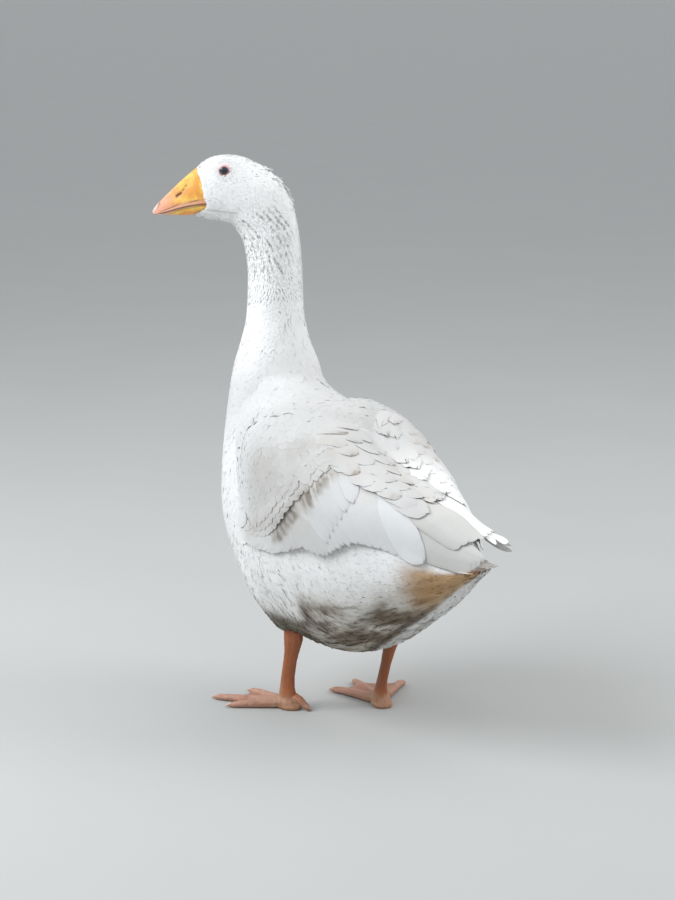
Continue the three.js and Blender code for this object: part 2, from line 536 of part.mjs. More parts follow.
const WHITE = 0xf1f0ec, GREY = 0xe2dfd6, ORANGE = 0xe9923a, LEG = 0xd9764a, EYE = 0x1a2230;
const LOOKS = {
  head: [WHITE, 0.85], neck_upper: [WHITE, 0.85], neck_lower: [WHITE, 0.85], trunk: [WHITE, 0.85], tail: [WHITE, 0.85],
  bill_upper: [ORANGE, 0.45], bill_lower: [ORANGE, 0.45], eye_left: [EYE, 0.1], eye_right: [EYE, 0.1],
  wing_left: [GREY, 0.8], wing_right: [GREY, 0.8], primaries_left: [GREY, 0.7], primaries_right: [GREY, 0.7],
  thigh_left: [WHITE, 0.85], thigh_right: [WHITE, 0.85], leg_left: [LEG, 0.55], leg_right: [LEG, 0.55],
  foot_left: [LEG, 0.55], foot_right: [LEG, 0.55],
};

const group = new THREE.Group();
for (const [name, solid] of Object.entries(parts)) {
  const mesh = solid.getMesh(), g = new THREE.BufferGeometry();
  g.setAttribute('position', new THREE.BufferAttribute(new Float32Array(mesh.vertProperties), 3));
  g.setIndex(new THREE.BufferAttribute(new Uint32Array(mesh.triVerts), 1));
  g.computeVertexNormals();
  const [color, roughness] = LOOKS[name];
  const m = new THREE.Mesh(g, new THREE.MeshStandardMaterial({ color, roughness, metalness: 0 }));
  m.name = name;
  group.add(m);
}
group.position.set(SHIFT_X, SHIFT_Y, 0);
export default group;
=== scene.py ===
"""Looks of a standing white domestic goose, head turned to its left.

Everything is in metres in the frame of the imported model: +Z up, the body faces -Y, its left side is +X.
The body is one lofted form with coordinates (place from tail to bill, angle round it); the folded wings are
forms of their own with coordinates (distance behind the neck, distance down the wing). Feathers are thin closed
vanes laid along these forms, each following the lie of the coat.
"""
import math

import bmesh
import bpy
import numpy as np
from mathutils import Matrix, Vector
from mathutils.bvhtree import BVHTree
from mathutils.kdtree import KDTree


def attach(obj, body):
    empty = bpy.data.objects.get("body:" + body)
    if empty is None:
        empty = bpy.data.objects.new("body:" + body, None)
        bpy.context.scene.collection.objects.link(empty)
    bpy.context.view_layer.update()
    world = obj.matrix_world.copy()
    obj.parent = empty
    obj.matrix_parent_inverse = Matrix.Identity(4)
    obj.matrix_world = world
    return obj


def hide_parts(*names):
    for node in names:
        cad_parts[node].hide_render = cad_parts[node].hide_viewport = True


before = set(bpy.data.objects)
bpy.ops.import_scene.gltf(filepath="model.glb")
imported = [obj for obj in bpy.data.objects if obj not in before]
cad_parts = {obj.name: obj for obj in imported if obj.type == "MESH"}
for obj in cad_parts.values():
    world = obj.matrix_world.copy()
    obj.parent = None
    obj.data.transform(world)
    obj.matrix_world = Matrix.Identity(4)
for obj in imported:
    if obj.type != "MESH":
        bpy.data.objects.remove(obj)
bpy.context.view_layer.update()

MM = 0.001
SHIFT = np.array([5.14, -159.44, 0.0])      # the neck's axis in the row frame, mm
HEAD_TURN = 48.0
rng = np.random.default_rng(20261)


# ---------------------------------------------------------------- numbers and noise
def lerp(a, b, t):
    return a + (b - a) * t


def smooth(a, b, x):
    t = np.clip((np.asarray(x, float) - a) / (b - a), 0, 1)
    return t * t * (3 - 2 * t)


def unit(v):
    v = np.asarray(v, float)
    return v / np.maximum(np.linalg.norm(v, axis=-1, keepdims=True), 1e-12)


def _hash(ix, iy, iz, seed):
    with np.errstate(over="ignore"):
        h = (ix.astype(np.int64) * 73856093) ^ (iy.astype(np.int64) * 19349663) ^ (iz.astype(np.int64) * 83492791) ^ (seed * 2654435761)
        h = (h ^ (h >> 13)) * 1274126177
        h = (h ^ (h >> 16)) & 0xFFFFFF
    return h / float(0xFFFFFF)


def noise3(p, seed=0):
    """Smooth value noise, 0 to 1, at points p (n, 3)."""
    p = np.asarray(p, float)
    i = np.floor(p).astype(np.int64)
    f = p - i
    f = f * f * (3 - 2 * f)
    out = np.zeros(p.shape[:-1])
    for dx in (0, 1):
        for dy in (0, 1):
            for dz in (0, 1):
                w = (f[..., 0] if dx else 1 - f[..., 0]) * (f[..., 1] if dy else 1 - f[..., 1]) * (f[..., 2] if dz else 1 - f[..., 2])
                out += w * _hash(i[..., 0] + dx, i[..., 1] + dy, i[..., 2] + dz, seed)
    return out


def fbm(p, seed=0, octaves=3):
    out, amp, tot = 0.0, 1.0, 0.0
    p = np.asarray(p, float)
    for k in range(octaves):
        out = out + amp * noise3(p * (2.03 ** k) + 17.3 * k, seed + k)
        tot += amp
        amp *= 0.55
    return out / tot


def curve(knots):
    """A smooth curve through (x, value) knots that never overshoots."""
    k = np.array(knots, float)
    x, y = k[:, 0], k[:, 1]
    n = len(x)
    d = np.diff(y) / np.diff(x)
    m = np.zeros(n)
    m[1:-1] = np.where(d[:-1] * d[1:] <= 0, 0, 2 * d[:-1] * d[1:] / np.where(d[:-1] + d[1:] == 0, 1, d[:-1] + d[1:]))
    m[0], m[-1] = d[0], d[-1]

    def f(q):
        q = np.clip(np.asarray(q, float), x[0], x[-1])
        i = np.clip(np.searchsorted(x, q, side="right") - 1, 0, n - 2)
        h = x[i + 1] - x[i]
        t = (q - x[i]) / h
        return ((2 * t ** 3 - 3 * t * t + 1) * y[i] + (t ** 3 - 2 * t * t + t) * h * m[i]
                + (-2 * t ** 3 + 3 * t * t) * y[i + 1] + (t ** 3 - t * t) * h * m[i + 1])
    return f


def catmull(rows, q):
    """Rows of numbers read at fractional places q."""
    rows = np.asarray(rows, float)
    n = len(rows)
    q = np.clip(np.asarray(q, float), 0, n - 1 - 1e-9)
    i = np.floor(q).astype(int)
    t = (q - i)[..., None]
    a, b, c, d = (rows[np.clip(i + k, 0, n - 1)] for k in (-1, 0, 1, 2))
    return 0.5 * (2 * b + (c - a) * t + (2 * a - 5 * b + 4 * c - d) * t ** 2 + (3 * b - a - 3 * c + d) * t ** 3)


# ---------------------------------------------------------------- the body's form
LOOPS = [  # back (forward, up), belly (forward, up), half width, widest at, roundness above and below, turn
    (-388, 241, -391, 235, 18, .50, 2.0, 2.0, 0),     # 0 covert tip
    (-350, 253, -358, 207, 41, .50, 2.2, 2.0, 0),     # 1 tail root
    (-305, 286, -322, 172, 68, .48, 2.3, 2.0, 0),     # 2 rump
    (-260, 312, -285, 144, 84, .47, 2.4, 2.0, 0),     # 3 vent
    (-215, 338, -242, 113, 96, .47, 2.5, 2.0, 0),     # 4 hips
    (-168, 366, -188, 91, 102, .47, 2.6, 2.1, 0),     # 5 paunch
    (-127, 388, -128, 88, 104, .48, 2.6, 2.2, 0),     # 6 belly
    (-96, 402, -62, 100, 102, .50, 2.5, 2.3, 0),      # 7 keel
    (-78, 411, -3, 141, 94, .52, 2.4, 2.3, 0),        # 8 low breast
    (-68, 420, 39, 200, 85, .54, 2.2, 2.2, 0),        # 9 breast
    (-61, 429, 55, 272, 74, .54, 2.1, 2.1, 0),        # 10 top of the breast
    (-56, 439, 56, 352, 65, .52, 2.0, 2.0, 0),        # 11 crop
    (-51, 452, 53, 418, 55, .50, 2.0, 2.0, 2),        # 12 foot of the neck
    (-45, 472, 45, 455, 45, .50, 2.0, 2.0, 6),        # 13 neck base
    (-40, 500, 37, 488, 37, .50, 2.0, 2.0, 12),       # 14 low neck
    (-38, 534, 34, 528, 34, .50, 2.0, 2.0, 22),       # 15 middle of the neck
    (-36, 570, 34, 562, 33, .50, 2.0, 2.0, 34),       # 16 high neck
    (-32, 606, 38, 588, 33, .50, 2.0, 2.0, 43),       # 17 nape
    (-27, 630, 45, 603, 32, .50, 2.0, 2.0, 46),       # 18 top of the nape
    (-19, 651, 51, 612, 31, .50, 2.0, 2.1, 48),       # 19 poll
    (-7, 671, 57, 616, 30, .52, 2.0, 2.1, 48),        # 20 occiput
    (13, 687, 64, 617, 28.5, .54, 2.0, 2.2, 48),      # 21 rear crown
    (35, 698, 71, 618, 27, .56, 2.0, 2.2, 48),        # 22 crown
    (55, 702, 79, 619, 25.5, .58, 2.0, 2.2, 48),      # 23 brow
    (74, 700, 88, 621, 23, .60, 2.0, 2.2, 48),        # 24 forehead
    (89, 693, 97, 623, 20, .62, 2.0, 2.2, 48),        # 25 lore
    (101, 682, 107, 625, 16.5, .64, 2.0, 2.2, 48),    # 26 bill base
]
LAST = len(LOOPS) - 1


def ahead(forward, left, z, turn):
    """A place forward, to the left and up, in a plane turned to the left, in metres of the row frame."""
    t = np.radians(turn)
    c, s = np.cos(t), np.sin(t)
    p = np.stack(np.broadcast_arrays(left * c + forward * s, left * s - forward * c, np.asarray(z, float)), -1)
    return (p + SHIFT) * MM


def body_point(s, theta, grow=0.0):
    r = catmull(LOOPS, s)
    ds, dz, vs, vz, w, m, nu, nl, turn = np.moveaxis(r, -1, 0)
    length = np.hypot(ds - vs, dz - vz)
    ux, uz = (ds - vs) / length, (dz - vz) / length
    cs, cz = lerp(ds, vs, m), lerp(dz, vz, m)
    ct, st = np.cos(theta), np.sin(theta)
    e = 2 / np.where(ct >= 0, nu, nl)
    side = (w + grow) * np.sign(st) * np.abs(st) ** e
    rise = np.where(ct >= 0, length * m + grow, length * (1 - m) + grow) * np.sign(ct) * np.abs(ct) ** e
    return ahead(cs + ux * rise, side, cz + uz * rise, turn)


def limb_rings(sections, turn, segs, steps, rnd=2.2, grow=0.0):
    rows = catmull(sections, np.linspace(0, len(sections) - 1, steps))
    t = np.arange(segs) / segs * 2 * np.pi
    c, s = np.cos(t), np.sin(t)
    e = 2 / rnd
    f = (rows[:, 3, None] + grow) * np.sign(c) * np.abs(c) ** e
    l = (rows[:, 4, None] + grow) * np.sign(s) * np.abs(s) ** e
    a = np.radians(turn)
    x = rows[:, 0, None] + l * np.cos(a) + f * np.sin(a)
    y = rows[:, 1, None] + l * np.sin(a) - f * np.cos(a)
    z = np.broadcast_to(rows[:, 2, None], x.shape)
    return (np.stack([x, y, z], -1) + SHIFT) * MM


THIGHS = {
    "left": (34 * .3, [(58, 44, 232, 34, 26), (58, 60, 190, 42, 35), (56, 74, 155, 38, 34), (54.5, 88, 128, 26, 24), (53, 98, 109, 17, 15.5)]),
    "right": (-17 * .3, [(-60, 72, 232, 34, 26), (-60, 98, 190, 42, 35), (-57, 124, 150, 38, 34), (-54, 146, 120, 25, 24), (-52, 163, 100, 16, 14.5)]),
}


# ---------------------------------------------------------------- meshes
def grid_faces(nu, nv, wrap=False, flip=False, start=0):
    i, j = np.meshgrid(np.arange(nu - 1), np.arange(nv if wrap else nv - 1), indexing="ij")
    j2 = (j + 1) % nv
    q = np.stack([i * nv + j, i * nv + j2, (i + 1) * nv + j2, (i + 1) * nv + j], -1).reshape(-1, 4) + start
    return q[:, ::-1] if flip else q


def make_mesh(name, verts, faces, smooth_shading=True):
    """A mesh from arrays; faces is an (n, 3) or (n, 4) array, or a list of such arrays."""
    faces = [np.asarray(f) for f in (faces if isinstance(faces, list) else [faces]) if len(f)]
    me = bpy.data.meshes.new(name)
    verts = np.asarray(verts, np.float32).reshape(-1, 3)
    me.vertices.add(len(verts))
    me.vertices.foreach_set("co", verts.ravel())
    idx = np.concatenate([f.ravel() for f in faces]).astype(np.int32)
    tot = np.concatenate([np.full(len(f), f.shape[1]) for f in faces])
    start = np.concatenate([[0], np.cumsum(tot)[:-1]]).astype(np.int32)
    me.loops.add(len(idx))
    me.loops.foreach_set("vertex_index", idx)
    me.polygons.add(len(tot))
    me.polygons.foreach_set("loop_start", start)
    me.polygons.foreach_set("use_smooth", np.full(len(tot), smooth_shading))
    me.update(calc_edges=True)
    me.validate(clean_customdata=False)
    return me


def add_object(name, me):
    o = bpy.data.objects.new(name, me)
    bpy.context.scene.collection.objects.link(o)
    return o


def loft(rings, start=0, flip=False):
    """Verts and faces of a closed tube with a point cap at both ends."""
    n, k = rings.shape[:2]
    v = np.concatenate([rings.reshape(-1, 3), rings[0].mean(0)[None], rings[-1].mean(0)[None]])
    q = grid_faces(n, k, wrap=True)
    j = np.arange(k)
    j2 = (j + 1) % k
    a = np.stack([np.full(k, n * k), j2, j], -1)
    b = np.stack([np.full(k, n * k + 1), (n - 1) * k + j, (n - 1) * k + j2], -1)
    f = [q + start, a + start, b + start]
    if flip:
        f = [x[:, ::-1] for x in f]
    return v, f


def mesh_arrays(me):
    co = np.zeros(len(me.vertices) * 3, np.float32)
    me.vertices.foreach_get("co", co)
    me.calc_loop_triangles()
    tri = np.zeros(len(me.loop_triangles) * 3, np.int32)
    me.loop_triangles.foreach_get("vertices", tri)
    return co.reshape(-1, 3).astype(float), tri.reshape(-1, 3)


def bvh_of(verts, tris):
    return BVHTree.FromPolygons([tuple(v) for v in verts], [tuple(int(i) for i in t) for t in tris])


def remeshed(name, parts, voxel, rounds=6):
    """The parts, which may overlap, as one closed surface of even quads, smoothed a little."""
    vs, fs, n = [], [], 0
    for v, f in parts:
        for a in (f if isinstance(f, list) else [f]):
            fs.append(np.asarray(a) + n)
        vs.append(v)
        n += len(v)
    o = add_object(name, make_mesh(name, np.concatenate(vs), fs))
    m = o.modifiers.new("remesh", "REMESH")
    m.mode, m.voxel_size, m.use_smooth_shade = "VOXEL", voxel, True
    if rounds:
        s = o.modifiers.new("smooth", "LAPLACIANSMOOTH")
        s.iterations, s.lambda_factor, s.use_volume_preserve = rounds, 0.6, True
    bpy.context.view_layer.update()
    me = bpy.data.meshes.new_from_object(o.evaluated_get(bpy.context.evaluated_depsgraph_get()))
    bpy.data.objects.remove(o)
    me.name = name
    return me


def normals_of(verts, tris):
    fn = np.cross(verts[tris[:, 1]] - verts[tris[:, 0]], verts[tris[:, 2]] - verts[tris[:, 0]])
    n = np.zeros_like(verts)
    for k in range(3):
        np.add.at(n, tris[:, k], fn)
    return unit(n)


# the body's form as a fine grid, which carries its coordinates
S_GRID = np.linspace(0, LAST, 53 * 5 + 1)
T_GRID = np.arange(96) / 96 * 2 * np.pi
_s, _t = np.meshgrid(S_GRID, T_GRID, indexing="ij")
BODY = body_point(_s, _t)
body_v, body_f = loft(BODY)
BODY_N, BODY_K = BODY.shape[:2]
BODY_LIE = -unit(np.gradient(BODY, axis=0))            # the way feathers lie: towards the tail
body_tree = KDTree(BODY_N * BODY_K)
for _i, _p in enumerate(BODY.reshape(-1, 3)):
    body_tree.insert(_p, _i)
body_tree.balance()
tri_body = np.concatenate([np.concatenate([f[:, [0, 1, 2]], f[:, [0, 2, 3]]]) if f.shape[1] == 4 else f for f in body_f])
body_bvh = bvh_of(body_v, tri_body)


def body_place(points):
    """(place along the body, angle round it, lie) of points near the body's surface."""
    idx = np.array([body_tree.find(p)[1] for p in points])
    i, j = idx // BODY_K, idx % BODY_K
    return S_GRID[i], T_GRID[j], BODY_LIE[i, j]


# ---------------------------------------------------------------- the folded wings' form
wing_half = curve([(30, 84), (50, 97), (80, 106), (120, 113), (160, 116), (200, 112), (240, 101), (270, 87), (300, 69), (330, 52), (360, 36), (390, 24), (424, 13)])
wing_top = curve([(30, 402), (60, 408), (100, 406), (140, 399), (180, 384), (220, 361), (260, 340), (310, 320), (350, 302), (385, 284), (416, 270)])
wing_mid = curve([(30, 325), (60, 322), (120, 300), (200, 285), (250, 272), (300, 264), (340, 256), (380, 253), (416, 258)])
wing_round = curve([(30, 2.2), (80, 2.6), (140, 2.8), (200, 2.5), (250, 2.2), (320, 2.0), (416, 2.0)])
wing_start = curve([(30, 1.0), (50, .84), (80, .62), (120, .42), (160, .2), (195, .02), (416, .02)])
wing_edge = curve([(30, 350), (42, 300), (55, 278), (84, 251), (113, 232), (150, 237), (190, 246), (227, 241), (254, 263), (288, 269),
                   (314, 264), (331, 253), (350, 246), (366, 245), (398, 254), (416, 258)])

WING_Y = np.linspace(30, 424, 100)
WING_C = 49


def _trunk_reach(y, z, dx, dz):
    """How far the body reaches from its middle line, at a place and in a direction of the cross plane, mm."""
    d = Vector((dx, 0, dz)).normalized()
    o = Vector((SHIFT[0], y + SHIFT[1], z)) * MM
    hit = body_bvh.ray_cast(o + d * 0.4, -d)
    return 400 - hit[3] / MM if hit[0] is not None else 0.0


def _wing_grid():
    rows = []
    vv = np.linspace(0, 1, 61)
    for y in WING_Y:
        w, top, mid, n = wing_half(y), wing_top(y), wing_mid(y), wing_round(y)
        a0 = math.asin(min(1, max(0, wing_start(y))))
        a1 = math.pi / 2 + math.asin(min(.95, max(-.9, (mid - wing_edge(y)) / 130)))
        a = lerp(min(a0, a1 - .12), a1, vv)
        ca, sa = np.cos(a), np.sin(a)
        x = np.where(ca >= 0, w * np.abs(sa) ** (2 / n), w * np.abs(sa) ** .8)
        z = np.where(ca >= 0, mid + (top - mid) * np.abs(ca) ** (2 / n), mid - 130 * np.abs(ca))
        z = z - 10 * smooth(170, 215, y) * (1 - smooth(300, 360, y)) * np.exp(-((x / 22) ** 2))
        r = np.maximum(np.hypot(x, z - mid), 1e-6)
        dx, dz = x / r, (z - mid) / r
        least = np.array([_trunk_reach(y, float(mid), float(p), float(q)) for p, q in zip(dx, dz)]) + 3.8 + 4 * smooth(300, 345, y)
        R = np.where(least < 5, r, (r + least + np.hypot(r - least, 3)) / 2)
        p = np.stack([np.maximum(.22, dx * R), np.full_like(x, y), mid + dz * R], -1)
        rows.append(p)
    g = np.array(rows)
    # even steps down each row
    out = np.zeros((len(WING_Y), WING_C, 3))
    total = np.zeros(len(WING_Y))
    for i, p in enumerate(g):
        d = np.concatenate([[0], np.cumsum(np.linalg.norm(np.diff(p, axis=0), axis=1))])
        total[i] = d[-1]
        for k in range(3):
            out[i, :, k] = np.interp(np.linspace(0, d[-1], WING_C), d, p[:, k])
    for _ in range(3):      # take the small steps out of it
        out[1:-1] = (out[:-2] + 2 * out[1:-1] + out[2:]) / 4
    return out, total


WING, WING_DOWN = _wing_grid()
WING_N = unit(np.cross(np.gradient(WING, axis=1), np.gradient(WING, axis=0)))
WING_N *= np.sign((WING_N * np.stack([WING[..., 0], 0 * WING[..., 0], WING[..., 2] - wing_mid(WING_Y)[:, None]], -1)).sum(-1, keepdims=True).mean())


def wing_down(y):
    return np.interp(y, WING_Y, WING_DOWN)


def _read(g, y, c):
    fy = (np.asarray(y, float) - WING_Y[0]) / (WING_Y[1] - WING_Y[0])
    fc = np.asarray(c, float) * (WING_C - 1)
    i = np.clip(np.floor(fy).astype(int), 0, len(WING_Y) - 2)
    j = np.clip(np.floor(fc).astype(int), 0, WING_C - 2)
    a, b = (fy - i)[..., None], (fc - j)[..., None]
    return (g[i, j] * (1 - a) + g[i + 1, j] * a) * (1 - b) + (g[i, j + 1] * (1 - a) + g[i + 1, j + 1] * a) * b


def wing_at(y, down, side, lift=0.0):
    """A place on the closed wing, (distance behind the neck, distance down it) in mm, lifted off it: (point, normal) in metres."""
    y, down, lift = np.broadcast_arrays(np.asarray(y, float), np.asarray(down, float), np.asarray(lift, float))
    c = down / wing_down(y)
    p = _read(WING, y, c)
    n = unit(_read(WING_N, y, np.clip(c, 0, 1)))
    p = p + n * lift[..., None]
    off = smooth(335, 424, y) if side < 0 else np.zeros_like(y)
    x = side * (np.maximum(p[..., 0], 0.2) + 18 * off * smooth(0, .6, c))
    z = p[..., 2] + 9 * off * smooth(0, .5, c)
    q = (np.stack([x, p[..., 1], z], -1) + SHIFT) * MM
    return q, np.stack([side * n[..., 0], n[..., 1], n[..., 2]], -1)


# ---------------------------------------------------------------- colours, shared by skin and coat
WHITE = np.array([.86, .862, .855])
WARM = np.array([.80, .775, .72])
GREY = np.array([.56, .54, .51])
DIRT = np.array([.235, .19, .14])
OCHRE = np.array([.62, .40, .19])
RUST = np.array([.55, .25, .09])


def mix(a, b, t):
    t = np.asarray(t, float)[..., None]
    return a * (1 - t) + b * t


def neck_frame(p):
    """A place in mm of the neck's frame."""
    return np.asarray(p, float) / MM - SHIFT


def streaks(p, lie_scale=(0.012, 0.09), seed=3):
    """Noise drawn out fore and aft, 0 to 1."""
    q = neck_frame(p)
    a = np.stack([q[..., 0] * .05, q[..., 1] * lie_scale[0] + q[..., 2] * .01, (q[..., 2] - q[..., 1] * .35) * lie_scale[1]], -1)
    return fbm(a, seed, 3)


BELLY_Y = [-55, -39, 3, 62, 128, 188, 242, 285, 322, 358, 391]
BELLY_Z = [272, 200, 141, 100, 88, 91, 113, 144, 172, 207, 235]
FLANK_Z = [330, 300, 271, 251, 244, 237, 232, 233, 231, 230, 238]
SOIL = np.array([.132, .092, .050])
SAND = np.array([.47, .42, .335])


def plumage(p):
    """The bird's own colours and its dirt by place, with painted shade and painted light laid over them."""
    q = neck_frame(p)
    x, y, z = q[..., 0], q[..., 1], q[..., 2]
    c = np.broadcast_to(WHITE, q.shape).copy()
    big = fbm(q * .02, 11, 3)
    c = mix(c, WARM, .25 * smooth(.45, .8, big) * smooth(60, 140, y))
    # painted shade: a grey band over the sides of the shoulders
    c = mix(c, np.array([.66, .655, .64]), .75 * smooth(55, 120, y) * smooth(320, 350, z) * smooth(470, 430, z))
    zb, zf = np.interp(y, BELLY_Y, BELLY_Z), np.interp(y, BELLY_Y, FLANK_Z)
    h = (z - zb) / np.maximum(zf - zb, 8)
    # from behind, the coat right of this line under the vent is clean
    part = np.interp(y, [120, 188, 242, 285, 322, 358, 391], [-60, 6, 25, 25, 20, 12, 4])
    clean = smooth(185, 215, y) * smooth(part + 3, part - 5, x) * smooth(1.2, .9, h)
    s = streaks(p)
    fine = streaks(p, (.03, .22), 9)
    dirt = np.interp(h, [.05, .2, .36, .5, .66, .85], [1, .95, .76, .50, .16, 0])
    start = np.interp(h, [.15, .34], [92, 140])
    dirt = dirt * smooth(0, 36, y - start)
    dirt = np.maximum(dirt, .20 * smooth(.7, .2, h) * smooth(-30, 60, y))
    rear = smooth(235, 300, y) * smooth(.88, .50, h)
    dirt = np.maximum(dirt, rear * .68)
    dirt = dirt * (1 - .93 * clean)
    patch = .74 + .46 * smooth(.32, .68, fbm(q * .035, 19, 3))
    c = mix(c, SAND, np.clip(dirt * .80 * patch, 0, .92))
    c = mix(c, SOIL, np.clip(dirt * .85 * smooth(.44, .66, s) * patch, 0, .80) * smooth(.12, .5, dirt))
    c = mix(c, SOIL * .8, np.clip(dirt * 1.4 * smooth(.50, .66, fine), 0, .85) * smooth(.2, .6, dirt))
    # ochre under the tail, rust at its tip
    o = smooth(304, 342, y) * smooth(1.35, 1.0, h) * smooth(-.1, .25, h) * (1 - clean)
    c = mix(c, np.array([.45, .265, .115]), o * .92)
    c = mix(c, np.array([.62, .40, .19]), o * smooth(325, 365, y) * smooth(.6, .4, s) * .6)
    c = mix(c, np.array([.22, .12, .06]), np.clip(o * smooth(.5, .68, fine) * .45, 0, .6))
    c = mix(c, RUST, smooth(366, 388, y) * smooth(236, 246, z) * (1 - clean) * .75)
    # a dark band along the crease beside the clean side
    crease = np.exp(-((x - part - 4) / 7.5) ** 2) * smooth(150, 200, y) * smooth(345, 300, y) * smooth(.5, .2, h)
    c = mix(c, SOIL * .7, np.clip(crease * 1.1, 0, .92))
    # wet, dark feathers above the legs, darkened further with painted shade where they meet the legs, and painted shade
    # behind the thigh
    for lx, ly in ((52, 100), (-51, 168)):
        d = np.hypot(x - lx, (y - ly) * .8)
        k = smooth(60, 38, d) * smooth(143, 124, z)
        c = mix(c, np.array([.105, .092, .056]), k * .96)
    # painted shade: a dark blob behind the thigh, where the belly meets it
    painted_thigh_shade = np.exp(-(((x - 88) / 18) ** 2 + ((y - 170) / 9) ** 2 + ((z - 148) / 17) ** 2))
    c = mix(c, SOIL * .8, np.clip(painted_thigh_shade * 1.1, 0, .88))
    # painted light and shade by height: the body and most of all the shoulders darker, the neck and head brighter, the
    # top of the crown darker again
    return c * np.interp(z, [280, 330, 380, 410, 440, 480, 560, 668, 690, 702], [.86, .84, .74, .74, .86, .97, 1.06, 1.07, .99, .88])[..., None]


# ---------------------------------------------------------------- feathers
def vane_profile(t, tip=.62):
    """Half width along a vane, 0 root to 1 tip, as a share of its widest."""
    t = np.asarray(t, float)
    rise = .34 + .66 * smooth(0, .52, t)
    end = np.sqrt(np.clip(1 - (np.clip(t - tip, 0, None) / (1 - tip)) ** 2, 0, 1))
    return rise * np.maximum(end, .1)


class Coat:
    """Feathers of one piece: closed vanes with a place on the unwrap of the form they grow from."""

    def __init__(self, name):
        self.name, self.n = name, 0
        self.v, self.f, self.nrm, self.col, self.vane, self.bake = [], [], [], [], [], []
        self.tris = 0

    def add(self, top, up, col, thick, uv, u, t, patch=.003, soft=.6, base=None):
        """top (N, K, M, 3) with its up (N, K, M, 3) of the form below; uv (N, 2) root places; u, t the grid's coordinates."""
        N, K, M, _ = top.shape
        if not N:
            return
        gk = np.gradient(top, axis=1)
        gm = np.gradient(top, axis=2)
        own = unit(np.cross(gk, gm))
        own = own * np.where((own * up).sum(-1, keepdims=True) < 0, -1, 1)
        nrm = unit(own * (1 - soft) + up * soft)
        th = np.broadcast_to(np.asarray(thick, float), (N,))[:, None, None, None]
        under = top[:, 1:-1, 1:-1] - own[:, 1:-1, 1:-1] * th
        v = np.concatenate([top.reshape(N, -1, 3), under.reshape(N, -1, 3)], 1)
        per = K * M + (K - 2) * (M - 2)
        k, m = np.meshgrid(np.arange(K), np.arange(M), indexing="ij")
        ti = k * M + m
        bi = ti.copy()
        bi[1:-1, 1:-1] = K * M + np.arange((K - 2) * (M - 2)).reshape(K - 2, M - 2)

        def quads(g, flip):
            q = np.stack([g[:-1, :-1], g[1:, :-1], g[1:, 1:], g[:-1, 1:]], -1).reshape(-1, 4)
            return q[:, ::-1] if flip else q
        qt, qb = quads(ti, False), quads(bi, True)
        # vane coordinates and colours by corner of the top grid, which the under side repeats
        near = bi.copy()
        flat = np.arange(K * M).reshape(K, M)
        src = np.concatenate([flat.ravel(), flat[1:-1, 1:-1].ravel()])
        f = np.concatenate([qt, qb])
        F = (f[None] + (np.arange(N) * per)[:, None, None]).reshape(-1, 4) + self.n
        self.f.append(F)
        self.v.append(v.reshape(-1, 3))
        self.n += N * per
        vn = nrm.reshape(N, K * M, 3)
        on = own.reshape(N, K * M, 3)
        ln = np.concatenate([vn[:, src[qt.ravel()]], -on[:, src[qb.ravel()]]], 1)
        self.nrm.append(ln.reshape(-1, 3))
        c = np.broadcast_to(col, (N, K, M, 3)).reshape(N, K * M, 3)[:, src]
        self.col.append(c.reshape(-1, 3))
        uu, tt = np.broadcast_to(u[None, :], (K, M)), np.broadcast_to(t[:, None], (K, M))
        g = np.stack([uu * .5 + .5, tt], -1).reshape(-1, 2)[src]            # per vertex
        lg = g[f.ravel()]
        self.vane.append(np.broadcast_to(lg[None], (N,) + lg.shape).reshape(-1, 2))
        pw = np.broadcast_to(np.asarray(patch, float), (N, 2) if np.ndim(patch) else (N,))
        pw = pw if pw.ndim == 2 else np.stack([pw, pw], -1)
        b = uv[:, None, :] + (lg[None] - .5) * pw[:, None, :]
        self.bake.append(np.clip(b, .0002, .9998).reshape(-1, 2))
        self.tris += N * len(f) * 2

    def finish(self, material, slot, replaces=()):
        if not self.v:
            return None
        v, f = np.concatenate(self.v), np.concatenate(self.f)
        me = bpy.data.meshes.new(self.name)
        me.vertices.add(len(v))
        me.vertices.foreach_set("co", v.astype(np.float32).ravel())
        me.loops.add(f.size)
        me.loops.foreach_set("vertex_index", f.astype(np.int32).ravel())
        me.polygons.add(len(f))
        me.polygons.foreach_set("loop_start", (np.arange(len(f)) * 4).astype(np.int32))
        me.polygons.foreach_set("use_smooth", np.ones(len(f), bool))
        me.update(calc_edges=True)
        a = me.attributes.new("col", "FLOAT_COLOR", "POINT")
        a.data.foreach_set("color", np.concatenate([np.concatenate(self.col), np.ones((len(v), 1))], 1).astype(np.float32).ravel())
        for name, data in (("OFBake", self.bake), ("Vane", self.vane)):
            layer = me.uv_layers.new(name=name)
            layer.data.foreach_set("uv", np.concatenate(data).astype(np.float32).ravel())
        me.uv_layers["OFBake"].active = True
        me.uv_layers["OFBake"].active_render = True
        me.materials.append(material)
        n = np.concatenate(self.nrm).astype(np.float32)
        me.normals_split_custom_set(n)
        o = add_object(self.name, me)
        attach(o, "root")
        if replaces:
            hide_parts(*replaces)
        print("coat", self.name, "feathers tris", self.tris)
        return o


